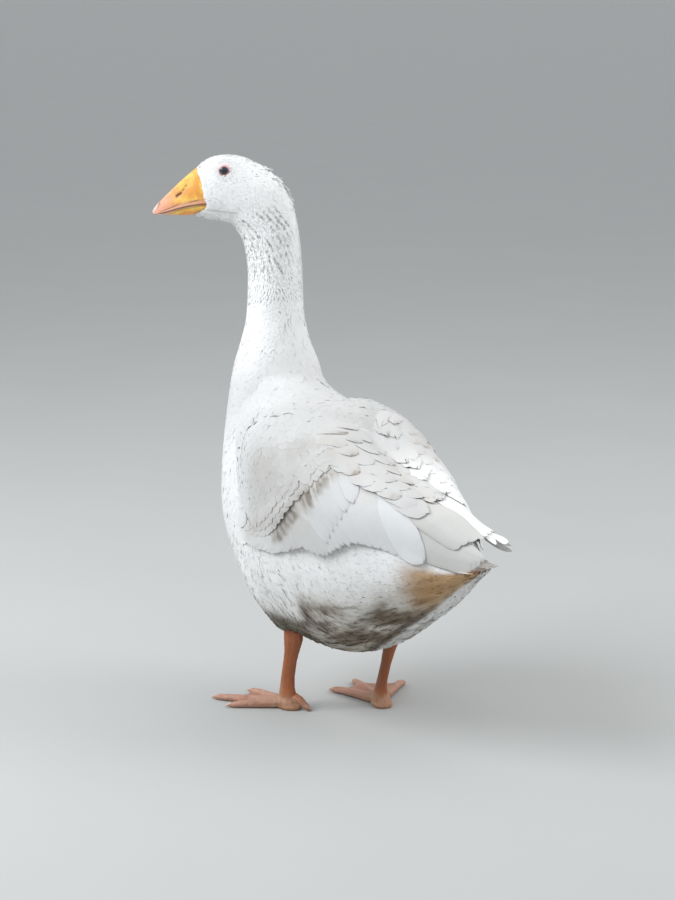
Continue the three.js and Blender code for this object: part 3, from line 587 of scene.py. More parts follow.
def spread(verts, tris, radius, keep, seed, tries=7.0):
    """Places spread over a surface, no two nearer than radius(p) in metres: (points, normals)."""
    g = np.random.default_rng(seed)
    tri = verts[tris]
    mid = tri.mean(1)
    ok = keep(mid)
    tri, mid = tri[ok], mid[ok]
    cr = np.cross(tri[:, 1] - tri[:, 0], tri[:, 2] - tri[:, 0])
    area = np.linalg.norm(cr, axis=1) / 2
    rad = radius(mid)
    want = area / (rad ** 2 * .87)
    n = int(want.sum() * tries)
    pick = g.choice(len(tri), n, p=want / want.sum())
    a, b = g.random(n), g.random(n)
    flip = a + b > 1
    a[flip], b[flip] = 1 - a[flip], 1 - b[flip]
    p = tri[pick, 0] + a[:, None] * (tri[pick, 1] - tri[pick, 0]) + b[:, None] * (tri[pick, 2] - tri[pick, 0])
    r = rad[pick]
    cell = float(r.max())
    ijk = np.floor(p / cell).astype(int)
    grid, chosen = {}, []
    pl, rl, il = p.tolist(), r.tolist(), ijk.tolist()
    for q in range(n):
        x, y, z = pl[q]
        i, j, k = il[q]
        r2 = rl[q] ** 2
        clear = True
        for di in (-1, 0, 1):
            for dj in (-1, 0, 1):
                for dk in (-1, 0, 1):
                    for (ax, ay, az) in grid.get((i + di, j + dj, k + dk), ()):
                        if (ax - x) ** 2 + (ay - y) ** 2 + (az - z) ** 2 < r2:
                            clear = False
                            break
                    if not clear:
                        break
                if not clear:
                    break
            if not clear:
                break
        if clear:
            grid.setdefault((i, j, k), []).append((x, y, z))
            chosen.append(q)
    return p[chosen], unit(cr[pick[chosen]])


def march(bvh, roots, lie_of, steps, guide=None):
    """Centre lines laid on a surface: steps (N, K) are distances from the root. Returns points and normals (N, K, 3)."""
    N, K = steps.shape
    P, U = np.zeros((N, K, 3)), np.zeros((N, K, 3))
    here = roots.copy()
    done = np.zeros(N)
    for k in range(K):
        if k:
            d, up = lie_of(here), U[:, k - 1]
            d = unit(d - up * (d * up).sum(-1, keepdims=True))
            if guide is not None:
                d = turned(d, up, guide)
            here = here + d * (steps[:, k] - done)[:, None]
        done = steps[:, k]
        for i in range(N):
            loc, nor, _, _ = bvh.find_nearest(here[i])
            here[i] = loc
            U[i, k] = nor
        P[:, k] = here
    return P, U


def turned(d, up, angle):
    """Directions turned about the surface's normal by an angle each."""
    side = np.cross(up, d)
    a = np.asarray(angle)[:, None]
    return d * np.cos(a) + side * np.sin(a)


def smooth_rows(U):
    """Normals smoothed along each feather."""
    V = U.copy()
    V[:, 1:-1] = U[:, :-2] + 2 * U[:, 1:-1] + U[:, 2:]
    return unit(V)


# ---------------------------------------------------------------- materials
def new_material(name, rough=.6, spec=.35, sheen=0.0, coat=0.0, coat_rough=.1):
    m = bpy.data.materials.new(name)
    m.use_nodes = True
    nt = m.node_tree
    b = nt.nodes["Principled BSDF"]
    b.inputs["Roughness"].default_value = rough
    b.inputs["Specular IOR Level"].default_value = spec
    b.inputs["Sheen Weight"].default_value = sheen
    b.inputs["Sheen Roughness"].default_value = .5
    b.inputs["Coat Weight"].default_value = coat
    b.inputs["Coat Roughness"].default_value = coat_rough
    return m, nt, b


def node(nt, kind, **kw):
    n = nt.nodes.new(kind)
    for k, v in kw.items():
        if k.startswith("in_"):
            n.inputs[k[3:].replace("_", " ")].default_value = v
        else:
            setattr(n, k, v)
    return n


def math_node(nt, op, a, b=None, clamp=False):
    n = nt.nodes.new("ShaderNodeMath")
    n.operation, n.use_clamp = op, clamp
    for i, x in enumerate((a, b)):
        if x is None:
            continue
        if isinstance(x, (int, float)):
            n.inputs[i].default_value = x
        else:
            nt.links.new(x, n.inputs[i])
    return n.outputs[0]


def mix_color(nt, fac, a, b, mode="MIX"):
    n = nt.nodes.new("ShaderNodeMix")
    n.data_type, n.blend_type = "RGBA", mode
    for sock, x in ((n.inputs[0], fac), (n.inputs[6], a), (n.inputs[7], b)):
        if isinstance(x, (int, float)):
            sock.default_value = x
        elif isinstance(x, tuple):
            sock.default_value = (*x, 1) if len(x) == 3 else x
        else:
            nt.links.new(x, sock)
    return n.outputs[2]


def feather_material(name, barbs, rough=.62, sheen=.12, bump=.25, fine=700.0, depth=.05):
    """Vanes: the colour carried by the mesh, a shaft, slanting barbs, and fine uneven tone."""
    m, nt, b = new_material(name, rough, .3, sheen)
    L = nt.links.new
    col = node(nt, "ShaderNodeAttribute", attribute_name="col").outputs["Color"]
    uv = node(nt, "ShaderNodeUVMap", uv_map="Vane").outputs[0]
    sep = node(nt, "ShaderNodeSeparateXYZ")
    L(uv, sep.inputs[0])
    across = math_node(nt, "ABSOLUTE", math_node(nt, "SUBTRACT", sep.outputs[0], .5))
    along = sep.outputs[1]
    slant = math_node(nt, "SUBTRACT", math_node(nt, "MULTIPLY", along, barbs), math_node(nt, "MULTIPLY", across, barbs * .55))
    wob = node(nt, "ShaderNodeTexNoise", in_Scale=fine * .35, in_Detail=2.0)
    co = node(nt, "ShaderNodeTexCoord").outputs["Object"]
    L(co, wob.inputs["Vector"])
    slant = math_node(nt, "ADD", slant, math_node(nt, "MULTIPLY", wob.outputs[0], 1.6))
    wave = math_node(nt, "SINE", math_node(nt, "MULTIPLY", slant, 6.2832))
    barb = math_node(nt, "MULTIPLY", math_node(nt, "ADD", wave, 1.0), .5)
    shaft = math_node(nt, "SUBTRACT", 1.0, math_node(nt, "MULTIPLY", across, 26.0), clamp=True)
    n1 = node(nt, "ShaderNodeTexNoise", in_Scale=fine, in_Detail=3.0)
    L(co, n1.inputs["Vector"])
    n2 = node(nt, "ShaderNodeTexNoise", in_Scale=42.0, in_Detail=2.0)
    L(co, n2.inputs["Vector"])
    tone = math_node(nt, "ADD", math_node(nt, "MULTIPLY", n1.outputs[0], .10), math_node(nt, "MULTIPLY", n2.outputs[0], .10))
    tone = math_node(nt, "ADD", tone, math_node(nt, "MULTIPLY", barb, depth))
    tone = math_node(nt, "ADD", tone, .90 - depth * .5)
    grey = nt.nodes.new("ShaderNodeCombineColor")
    for k in range(3):
        L(tone, grey.inputs[k])
    c = mix_color(nt, 1.0, col, grey.outputs[0], "MULTIPLY")
    L(c, b.inputs["Base Color"])
    r = math_node(nt, "ADD", math_node(nt, "MULTIPLY", n1.outputs[0], .16), rough - .08)
    L(r, b.inputs["Roughness"])
    height = math_node(nt, "ADD", math_node(nt, "MULTIPLY", barb, .6), math_node(nt, "MULTIPLY", shaft, .9))
    height = math_node(nt, "ADD", height, math_node(nt, "MULTIPLY", n1.outputs[0], .5))
    bp = node(nt, "ShaderNodeBump", in_Strength=bump, in_Distance=.0003)
    L(height, bp.inputs["Height"])
    L(bp.outputs[0], b.inputs["Normal"])
    return m


def skin_material(name, rough, scale, cell, bump, distance, tone_low, spec=.4, sheen=0.0, coat=0.0):
    """Bare skin or horn: the mesh's colour, small cells or pores, and uneven tone."""
    m, nt, b = new_material(name, rough, spec, sheen, coat)
    L = nt.links.new
    col = node(nt, "ShaderNodeAttribute", attribute_name="col").outputs["Color"]
    co = node(nt, "ShaderNodeTexCoord").outputs["Object"]
    v = node(nt, "ShaderNodeTexVoronoi", feature="DISTANCE_TO_EDGE", in_Scale=cell)
    L(co, v.inputs["Vector"])
    edge = math_node(nt, "MULTIPLY", v.outputs["Distance"], 7.0, clamp=True)
    n = node(nt, "ShaderNodeTexNoise", in_Scale=scale, in_Detail=4.0)
    L(co, n.inputs["Vector"])
    tone = math_node(nt, "ADD", math_node(nt, "MULTIPLY", edge, 1 - tone_low), tone_low)
    tone = math_node(nt, "MULTIPLY", tone, math_node(nt, "ADD", math_node(nt, "MULTIPLY", n.outputs[0], .36), .82))
    grey = nt.nodes.new("ShaderNodeCombineColor")
    for k in range(3):
        L(tone, grey.inputs[k])
    L(mix_color(nt, 1.0, col, grey.outputs[0], "MULTIPLY"), b.inputs["Base Color"])
    L(math_node(nt, "ADD", math_node(nt, "MULTIPLY", n.outputs[0], .3), rough - .15), b.inputs["Roughness"])
    h = math_node(nt, "ADD", math_node(nt, "MULTIPLY", edge, .7), math_node(nt, "MULTIPLY", n.outputs[0], .5))
    bp = node(nt, "ShaderNodeBump", in_Strength=bump, in_Distance=distance)
    L(h, bp.inputs["Height"])
    L(bp.outputs[0], b.inputs["Normal"])
    return m


MAT_SMALL = feather_material("small_feathers", 5.0, rough=.66, sheen=.15, bump=.12, depth=.02)
MAT_BODY = feather_material("body_feathers", 16.0, rough=.64, sheen=.12, bump=.22, depth=.04)
MAT_QUILL = feather_material("quill_feathers", 60.0, rough=.52, sheen=.08, bump=.30, depth=.05)
MAT_DOWN = skin_material("downy_skin", .8, 900.0, 600.0, .3, .0004, .9, spec=.2, sheen=.2)
MAT_LEG = skin_material("scaly_skin", .50, 420.0, 620.0, .6, .0004, .80, spec=.40)
MAT_LID = skin_material("lid_skin", .42, 900.0, 1500.0, .5, .0002, .75, spec=.5)
MAT_BILL = skin_material("bill_skin", .46, 260.0, 900.0, .25, .0002, .93, spec=.35)
MAT_HORN = skin_material("horn", .34, 300.0, 700.0, .25, .00015, .9, spec=.55)


def set_color(me, col):
    a = me.attributes.new("col", "FLOAT_COLOR", "POINT")
    a.data.foreach_set("color", np.concatenate([col, np.ones((len(col), 1))], 1).astype(np.float32).ravel())


# ---------------------------------------------------------------- the head's own places
FEATHER_LINE = np.array([(99, 684.5), (92.5, 675), (89.2, 661), (86.8, 648), (83.5, 643), (84.2, 634.5), (92, 629.6), (103, 625.5)])
EYE_F, EYE_L, EYE_Z, EYE_R = 60.9, 12.9, 683.0, 9.0
LID_R = 6.1


def head_frame(p):
    """(forward, left, up) in mm of the head."""
    q = neck_frame(p)
    c, s = math.cos(math.radians(HEAD_TURN)), math.sin(math.radians(HEAD_TURN))
    return q[..., 0] * s - q[..., 1] * c, q[..., 0] * c + q[..., 1] * s, q[..., 2]


def line_ahead(p):
    """How far a place of the head lies in front of the line where feathers stop, mm."""
    f, l, z = head_frame(p)
    return f - np.interp(z, FEATHER_LINE[::-1, 1], FEATHER_LINE[::-1, 0])


def eye_distance(p):
    f, l, z = head_frame(p)
    return np.hypot(f - EYE_F, z - EYE_Z)


# ---------------------------------------------------------------- the skin
thigh_parts = {}
for name, (turn, sections) in THIGHS.items():
    thigh_parts[name] = loft(limb_rings(sections, turn, 36, 24, rnd=2.0))
me = remeshed("form", [(body_v, body_f)] + list(thigh_parts.values()), .0032, rounds=4)
FORM_V, FORM_T = mesh_arrays(me)
bpy.data.meshes.remove(me)
FORM_BVH = bvh_of(FORM_V, FORM_T)


def coat_depth(s):
    return np.interp(s, [0, 2, 4, 8, 11, 13, 16, 19, 21, 24, 26], [6, 5.6, 5.4, 5, 4.4, 3.6, 3.0, 2.2, 1.8, 1.3, 1.1]) * MM


def wing_shell(side, outer, inner, full=80):
    """The flesh of a folded wing, as a closed slab under its surface."""
    y = np.linspace(44, 330, 60)
    c = np.linspace(.02, .97, 40)
    Y, C = np.meshgrid(y, c, indexing="ij")
    a, _ = wing_at(Y, C * wing_down(Y), side, -outer)
    b, _ = wing_at(Y, C * wing_down(Y), side, -np.minimum(inner, 3 + 20 * smooth(full - 36, full, Y) * smooth(330, 240, Y) + outer))
    k = 60 * 40
    v = np.concatenate([a.reshape(-1, 3), b.reshape(-1, 3)])
    top, bot = grid_faces(60, 40), grid_faces(60, 40, flip=True) + k
    i = np.arange(60) * 40
    j = np.arange(40)
    rim = []
    for line in (i, i + 39):
        rim.append(np.stack([line[:-1], line[1:], line[1:] + k, line[:-1] + k], -1))
    for line in (j, j + 59 * 40):
        rim.append(np.stack([line[:-1], line[1:], line[1:] + k, line[:-1] + k], -1))
    return v, [top, bot] + rim


def inset_form():
    """The form moved in by the coat's depth."""
    n = normals_of(FORM_V, FORM_T)
    s, _, _ = body_place(FORM_V)
    d = coat_depth(s)
    nose = np.where(s > 23, line_ahead(FORM_V), -99)
    d = d + 7.5 * MM * smooth(-.5, 3.0, nose)
    e = np.where(s > 20, eye_distance(FORM_V), 99)
    d = d + 7 * MM * smooth(9.5, 6.5, e)
    return FORM_V - n * d[:, None]


def drop_specks(me, least=200):
    """Takes out the loose specks that a remesh leaves where a form is thin."""
    bm = bmesh.new()
    bm.from_mesh(me)
    seen, drop = set(), []
    for v in bm.verts:
        if v in seen:
            continue
        seen.add(v)
        stack, island = [v], []
        while stack:
            w = stack.pop()
            island.append(w)
            for e in w.link_edges:
                other = e.other_vert(w)
                if other not in seen:
                    seen.add(other)
                    stack.append(other)
        if len(island) < least:
            drop += island
    bmesh.ops.delete(bm, geom=drop, context="VERTS")
    bm.to_mesh(me)
    bm.free()


skin_me = remeshed("goose_skin", [(inset_form(), FORM_T), wing_shell(1, 3.4, 30), wing_shell(-1, 3.4, 30)], .0030, rounds=3)
drop_specks(skin_me)


# ---------------------------------------------------------------- legs and feet, part of the same skin
LEGS = {
    "left": {"ankle": (52, 89), "toes": {"inner": (54.5, 10), "middle": (107, 0), "outer": (112, 39)},
             "hallux": ((46, 107, 13), (41.5, 116, 4.5)), "hock": (52.5, 101.5)},
    "right": {"ankle": (-47, 158), "toes": {"inner": (-30, 76), "middle": (-76, 68), "outer": (-126, 117)},
              "hallux": ((-42, 163, 12), (-37, 158.5, 4.5)), "hock": (-50.5, 172.5)},
}


def node_arrays(name, grow=0.0):
    """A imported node's surface with its doubled points joined, moved out a little."""
    b = bmesh.new()
    b.from_mesh(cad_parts[name].data)
    bmesh.ops.remove_doubles(b, verts=b.verts, dist=2e-5)
    bmesh.ops.triangulate(b, faces=b.faces)
    b.verts.index_update()
    v = np.array([x.co[:] for x in b.verts])
    t = np.array([[x.index for x in f.verts] for f in b.faces])
    b.free()
    return v + normals_of(v, t) * grow, t


def leg_color(p, side):
    q = neck_frame(p)
    x, y, z = q[..., 0], q[..., 1], q[..., 2]
    orange, tan, brown = np.array([.56, .175, .06]), np.array([.60, .36, .20]), np.array([.30, .095, .04])
    pink, web = np.array([.72, .40, .29]), np.array([.58, .26, .16])
    ax, ay = LEGS[side]["ankle"]
    up = smooth(20, 95, z)
    c = mix(orange, brown, up * .75)
    front = smooth(4, -8, (y - np.interp(z, [17, 42, 65, 95], [ay, ay + 1, ay + 5, ay + 12])))
    c = mix(c, tan, front * smooth(70, 25, z) * .7)
    d = np.hypot(x - ax, y - ay)
    foot = smooth(22, 12, z)
    toe = np.zeros(len(q))
    for tip in LEGS[side]["toes"].values():
        v = np.array([tip[0] - ax, tip[1] - ay], float)
        n = np.hypot(*v)
        v /= n
        a = (x - ax) * v[0] + (y - ay) * v[1]
        o = np.abs((x - ax) * v[1] - (y - ay) * v[0])
        toe = np.maximum(toe, smooth(8, 3.5, o) * (a > -4) * (a < n + 12))
    fc = mix(np.broadcast_to(web, q.shape), pink, toe * .8)
    fc = mix(fc, tan, smooth(34, 8, d) * .55)
    c = mix(c, fc, foot)
    blot = fbm(q * .09, 31, 3)
    c = mix(c, brown, smooth(.52, .78, blot) * .35)
    c = mix(c, np.array([.80, .62, .48]), smooth(.60, .85, fbm(q * .16, 37, 2)) * .35 * foot)
    c = mix(c, np.array([.22, .15, .10]), smooth(3.0, .4, z) * .55)
    c = c * np.interp(z, [0, 24, 45, 75, 100], [.72, .66, .68, .90, .98])[..., None]
    # painted shade: the right leg darker on one side
    if side == "right":
        c = mix(c, brown * .8, .55 * smooth(14, 30, z) * smooth(-3, 3, (x - ax) * .64 + (y - ay) * -.2 + 3))
    return c


leg_parts = []
for side in ("left", "right"):
    m2 = remeshed("leg_" + side, [node_arrays("leg_" + side, .0004), node_arrays("foot_" + side, .0004)], .0012, rounds=5)
    v, t = mesh_arrays(m2)
    n = normals_of(v, t)
    q = neck_frame(v)
    ax, ay = LEGS[side]["ankle"]
    z = q[:, 2]
    # plates across the front of the shank and over the toes, small grains between
    d = np.hypot(q[:, 0] - ax, q[:, 1] - ay)
    plate = np.where(z > 20, np.abs(np.sin(z * np.pi / 4.4)) ** .6, np.abs(np.sin(d * np.pi / 3.7)) ** .6)
    topside = np.where(z > 20, smooth(0, .6, -(n[:, 1])), smooth(.2, .7, n[:, 2]))
    grain = noise3(q * .62, 5)
    v = v + n * ((plate - .7) * .42 * topside + (grain - .5) * .45)[:, None] * MM
    v[:, 2] = np.maximum(v[:, 2], 0.0)
    q4 = np.array([p.vertices[:] for p in m2.polygons]) if all(len(p.vertices) == 4 for p in m2.polygons) else t
    leg_parts.append((side, v, q4))
    bpy.data.meshes.remove(m2)

# the skin, body and legs together
sv = np.zeros(len(skin_me.vertices) * 3, np.float32)
skin_me.vertices.foreach_get("co", sv)
sv = sv.reshape(-1, 3).astype(float)
skin_loops = np.zeros(len(skin_me.loops), np.int32)
skin_me.loops.foreach_get("vertex_index", skin_loops)
skin_tot = np.zeros(len(skin_me.polygons), np.int32)
skin_me.polygons.foreach_get("loop_total", skin_tot)
skin_start = np.concatenate([[0], np.cumsum(skin_tot)[:-1]])
skin_quads = np.array([skin_loops[a:a + 4] for a, b in zip(skin_start, skin_tot) if b == 4])
skin_tris = [skin_loops[a:a + 3] for a, b in zip(skin_start, skin_tot) if b == 3]


def lids(side):
    """The rim of bare skin round an eye: rows of a ring from the ball out to under the feathers."""
    sgn = 1 if side == "left" else -1
    k = 44
    t = np.arange(k) / k * 2 * np.pi
    # a rounded opening drawn out a little towards the front and back corners
    open_f = 5.5 + .55 * np.abs(np.cos(t)) ** 6
    open_z = 4.95
    rows = []
    for grow, out in ((-.25, -.55), (0, .0), (.35, .55), (.9, .85), (1.5, .75), (2.2, .55), (3.2, .2), (4.6, -.6), (6.2, -1.8)):
        f = (open_f + grow) * np.cos(t)
        z = (open_z + grow * .92) * np.sin(t)
        r = np.hypot(f, z)
        ball = EYE_L + np.sqrt(np.clip(EYE_R ** 2 - np.minimum(r, 8.2) ** 2, 4, None))
        rows.append((f, z, ball, out, grow))
    rings = []
    for f, z, ball, out, grow in rows:
        surf = []
        for ff, zz in zip(f, z):
            o = Vector(ahead(EYE_F + ff, sgn * 60, EYE_Z + zz, HEAD_TURN))
            d = Vector(ahead(0, -sgn, 0, HEAD_TURN)) - Vector(ahead(0, 0, 0, HEAD_TURN))
            hit = FORM_BVH.ray_cast(o, d.normalized())
            surf.append(60 - hit[3] / MM if hit[0] is not None else 22)
        surf = np.array(surf)
        w = smooth(.3, 4.6, grow)
        r = np.hypot(f, z)
        lat = lerp(ball + out, surf - .9 + out * .3, w)
        true = EYE_L + np.sqrt(np.clip(EYE_R ** 2 - np.minimum(r, 8.95) ** 2, .01, None)) + .35
        lat = np.where((grow > -.1) & (r < 9.3), np.maximum(lat, true), lat)
        if grow in (0, 6.2):
            print("coat lid", side, grow, "form", surf.min().round(1), surf.max().round(1), "ball", true.round(1).min())
        rings.append(ahead(EYE_F + f, sgn * lat, EYE_Z + z, HEAD_TURN))
    g = np.stack(rings)
    f = grid_faces(len(rings), k, wrap=True, flip=(side == "right"))
    return g.reshape(-1, 3), f


parts_v, parts_f, parts_c, parts_m = [sv], [skin_quads], [plumage(sv)], [np.zeros(len(skin_quads), int)]
count = len(sv)
if skin_tris:
    parts_f.append(np.array(skin_tris)); parts_m.append(np.zeros(len(skin_tris), int))
for side, v, f in leg_parts:
    parts_v.append(v); parts_f.append(f + count); parts_c.append(leg_color(v, side)); parts_m.append(np.full(len(f), 1))
    count += len(v)
for side in ("left", "right"):
    v, f = lids(side)
    parts_v.append(v); parts_f.append(f + count); parts_m.append(np.full(len(f), 2))
    e = eye_distance(v)
    c = mix(np.broadcast_to(np.array([.74, .40, .40]), v.shape), np.array([.20, .09, .10]), smooth(5.7, 5.1, e) * .7)
    c = mix(c, WHITE, smooth(6.9, 8.6, e) * .92)
    parts_c.append(c)
    count += len(v)
me = make_mesh("goose_skin", np.concatenate(parts_v), parts_f)
me.polygons.foreach_set("material_index", np.concatenate(parts_m).astype(np.int32))
set_color(me, np.concatenate(parts_c))
for m in (MAT_DOWN, MAT_LEG, MAT_LID):
    me.materials.append(m)
skin = add_object("goose_skin", me)
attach(skin, "root")
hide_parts("head", "neck_upper", "neck_lower", "trunk", "tail", "thigh_left", "thigh_right",
            "leg_left", "leg_right", "foot_left", "foot_right", "wing_left", "wing_right")


# ---------------------------------------------------------------- claws
def claw(base, direction, length, radius, droop, lift=.6):
    k, segs = 9, 12
    t = np.linspace(0, 1, k)
    d = unit(np.array(direction, float))
    side = unit(np.cross([0, 0, 1.0], d))
    up = np.cross(d, side)
    rings = []
    for a in t:
        c = np.array(base, float) + d * length * a + up * (lift * 4 * a * (1 - a) - droop * a * a)
        r = radius * (1 - a) ** .62 + .12
        th = np.arange(segs) / segs * 2 * np.pi
        rings.append(c + side * (np.sin(th) * r * .85)[:, None] + up * (np.cos(th) * r)[:, None])
    return (np.array(rings) + SHIFT) * MM


cv, cf, cn = [], [], 0
for side, leg in LEGS.items():
    ax, ay = leg["ankle"]
    for tip in leg["toes"].values():
        v = np.array([tip[0] - ax, tip[1] - ay])
        n = np.hypot(*v)
        b = np.array([ax + v[0] * .925, ay + v[1] * .925, 4.3])
        rv, rf = loft(claw(b, (v[0] / n, v[1] / n, -.05), 9.5, 2.7, 2.8))
        cv.append(rv); cf += [x + cn for x in rf]; cn += len(rv)
    h1, h2 = np.array(leg["hallux"][0], float), np.array(leg["hallux"][1], float)
    d = h2 - h1
    rv, rf = loft(claw(h2 - d * .1 + np.array([0, 0, .6]), (d[0], d[1], d[2] * .4), 7.0, 2.0, 1.2))
    cv.append(rv); cf += [x + cn for x in rf]; cn += len(rv)
allv = np.concatenate(cv)
allv[:, 2] = np.maximum(allv[:, 2], .0001)
me = make_mesh("claws", allv, [np.concatenate([f for f in cf if f.shape[1] == 4]), np.concatenate([f for f in cf if f.shape[1] == 3])])
q = neck_frame(allv)
set_color(me, mix(np.broadcast_to(np.array([.55, .42, .33]), q.shape), np.array([.24, .18, .14]), smooth(.45, .8, fbm(q * .3, 41))))
me.materials.append(MAT_HORN)
claws = add_object("claws", me)
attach(claws, "root")


# ---------------------------------------------------------------- the eyes
def eyeball(side):
    sgn = 1 if side == "left" else -1
    nu, nv = 40, 48
    a = np.concatenate([np.linspace(0, .9, 26), np.linspace(.95, np.pi, nu - 26)])
    t = np.arange(nv) / nv * 2 * np.pi
    A, Tt = np.meshgrid(a, t, indexing="ij")
    r = EYE_R + .55 * np.exp(-(A / .42) ** 2)            # the cornea stands out a little
    lat, rad = r * np.cos(A), r * np.sin(A)
    p = ahead(EYE_F + rad * np.cos(Tt), sgn * (EYE_L + lat), EYE_Z + rad * np.sin(Tt), HEAD_TURN)
    v, f = loft(p, flip=(sgn < 0))
    me = make_mesh("eyeball_" + side, v, f)
    e = eye_distance(v)
    pupil, iris, rim = np.array([.004, .004, .005]), np.array([.035, .045, .075]), np.array([.012, .012, .016])
    c = mix(np.broadcast_to(pupil, v.shape), iris, smooth(3.1, 3.5, e))
    c = mix(c, rim, smooth(5.2, 6.1, e))
    set_color(me, c)
    o = add_object("eyeball_" + side, me)
    me.materials.append(MAT_EYE)
    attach(o, "root")
    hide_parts("eye_" + side)


def eye_material():
    m, nt, b = new_material("eye_wet", .14, .35, 0, .6, .03)
    L = nt.links.new
    col = node(nt, "ShaderNodeAttribute", attribute_name="col").outputs["Color"]
    co = node(nt, "ShaderNodeTexCoord").outputs["Object"]
    n = node(nt, "ShaderNodeTexNoise", in_Scale=1400.0, in_Detail=3.0)
    L(co, n.inputs["Vector"])
    L(mix_color(nt, math_node(nt, "MULTIPLY", n.outputs[0], .5), col, (.05, .06, .09)), b.inputs["Base Color"])
    return m


MAT_EYE = eye_material()
eyeball("left")
eyeball("right")


# ---------------------------------------------------------------- the bill
UPPER_BILL = [
    (90, 690, 74, 641.5, 20.2, 13.0), (99, 684, 85, 641.3, 19.0, 10.8), (108, 676.5, 97, 639.8, 17.2, 8.8),
    (118.5, 667.5, 109, 637.6, 15.2, 7.4), (129, 657.5, 121, 634.4, 13.3, 6.6), (139, 648, 132.5, 630.8, 11.7, 6.2),
    (147, 639.8, 143, 627.9, 9.6, 5.8), (152, 633.6, 149.5, 626.2, 6.6, 4.4), (154.6, 629.2, 153.6, 626.0, 2.6, 2.0)]
LOWER_BILL = [
    (76, 641.0, 80, 631.0, 17.6), (85, 640.6, 88, 629.0, 16.8), (97, 639.1, 99, 626.2, 14.8), (109, 636.9, 110, 625.0, 12.6),
    (121, 633.7, 121, 624.8, 10.6), (132.5, 630.1, 132, 625.2, 9.0), (143, 627.2, 142.5, 625.2, 6.6), (147, 626.4, 147, 625.4, 3.0)]
ORANGE, PINK, PALE, YELLOW = np.array([.74, .29, .05]), np.array([.76, .34, .22]), np.array([.84, .66, .54]), np.array([.88, .53, .105])


def bill_color(p, upper=True):
    f, l, z = head_frame(p)
    q = neck_frame(p)
    edge = np.interp(f, [74, 85, 97, 109, 121, 132.5, 143, 149.5, 153.6], [641.5, 641.3, 639.8, 637.6, 634.4, 630.8, 627.9, 626.2, 626])
    n = fbm(q * .11, 51, 3)
    c = mix(np.broadcast_to(YELLOW, q.shape), ORANGE, smooth(.35, .65, n) * .8)
    c = mix(c, PINK, smooth(116, 142, f + 14 * (n - .5)))
    if upper:
        c = mix(c, PINK, smooth(9, 1.5, z - edge) * .65)
        c = mix(c, np.array([.85, .55, .42]), smooth(6, 0, z - edge) * .2)
        # the pale strip along the rim, under a thin dark line
        h0 = np.interp(f, [76, 100, 125, 150], [4.0, 4.8, 4.0, 1.2])
        c = mix(c, np.array([.80, .42, .28]), smooth(h0, h0 - .8, z - edge) * (.30 + .5 * smooth(92, 108, f)))
        c = mix(c, np.array([.15, .05, .03]), np.exp(-((z - edge - h0) / .55) ** 2) * .85 * smooth(75, 82, f) * smooth(150, 138, f))
        # painted shade along the lower rim of the upper bill
        c = mix(c, np.array([.20, .07, .04]), smooth(1.1, .2, z - edge) * .6)
    else:
        c = mix(c, np.array([.70, .25, .10]), smooth(edge - 5, edge - 11, z) * .6)
        c = mix(c, PALE, smooth(3.6, 1.6, edge - z) * smooth(92, 104, f) * .6)
        # painted shade along the top edge of the lower bill, under the upper bill's rim
        c = mix(c, np.array([.10, .035, .02]), smooth(1.2, .4, edge - z) * .6)
        c = mix(c, np.array([.30, .10, .05]), np.exp(-((edge - z - 3.9) / .55) ** 2) * .45 * smooth(88, 100, f))
        c = np.clip(c * 1.28, 0, .9)
    return c


def smooth_ring(pts, n):
    """A closed ring of n points through control points (k, 2)."""
    k = len(pts)
    q = np.arange(n) / n * k
    i = np.floor(q).astype(int)
    t = (q - i)[:, None]
    a, b, c, d = (pts[(i + o) % k] for o in (-1, 0, 1, 2))
    return 0.5 * (2 * b + (c - a) * t + (2 * a - 5 * b + 4 * c - d) * t ** 2 + (3 * b - a - 3 * c + d) * t ** 3)


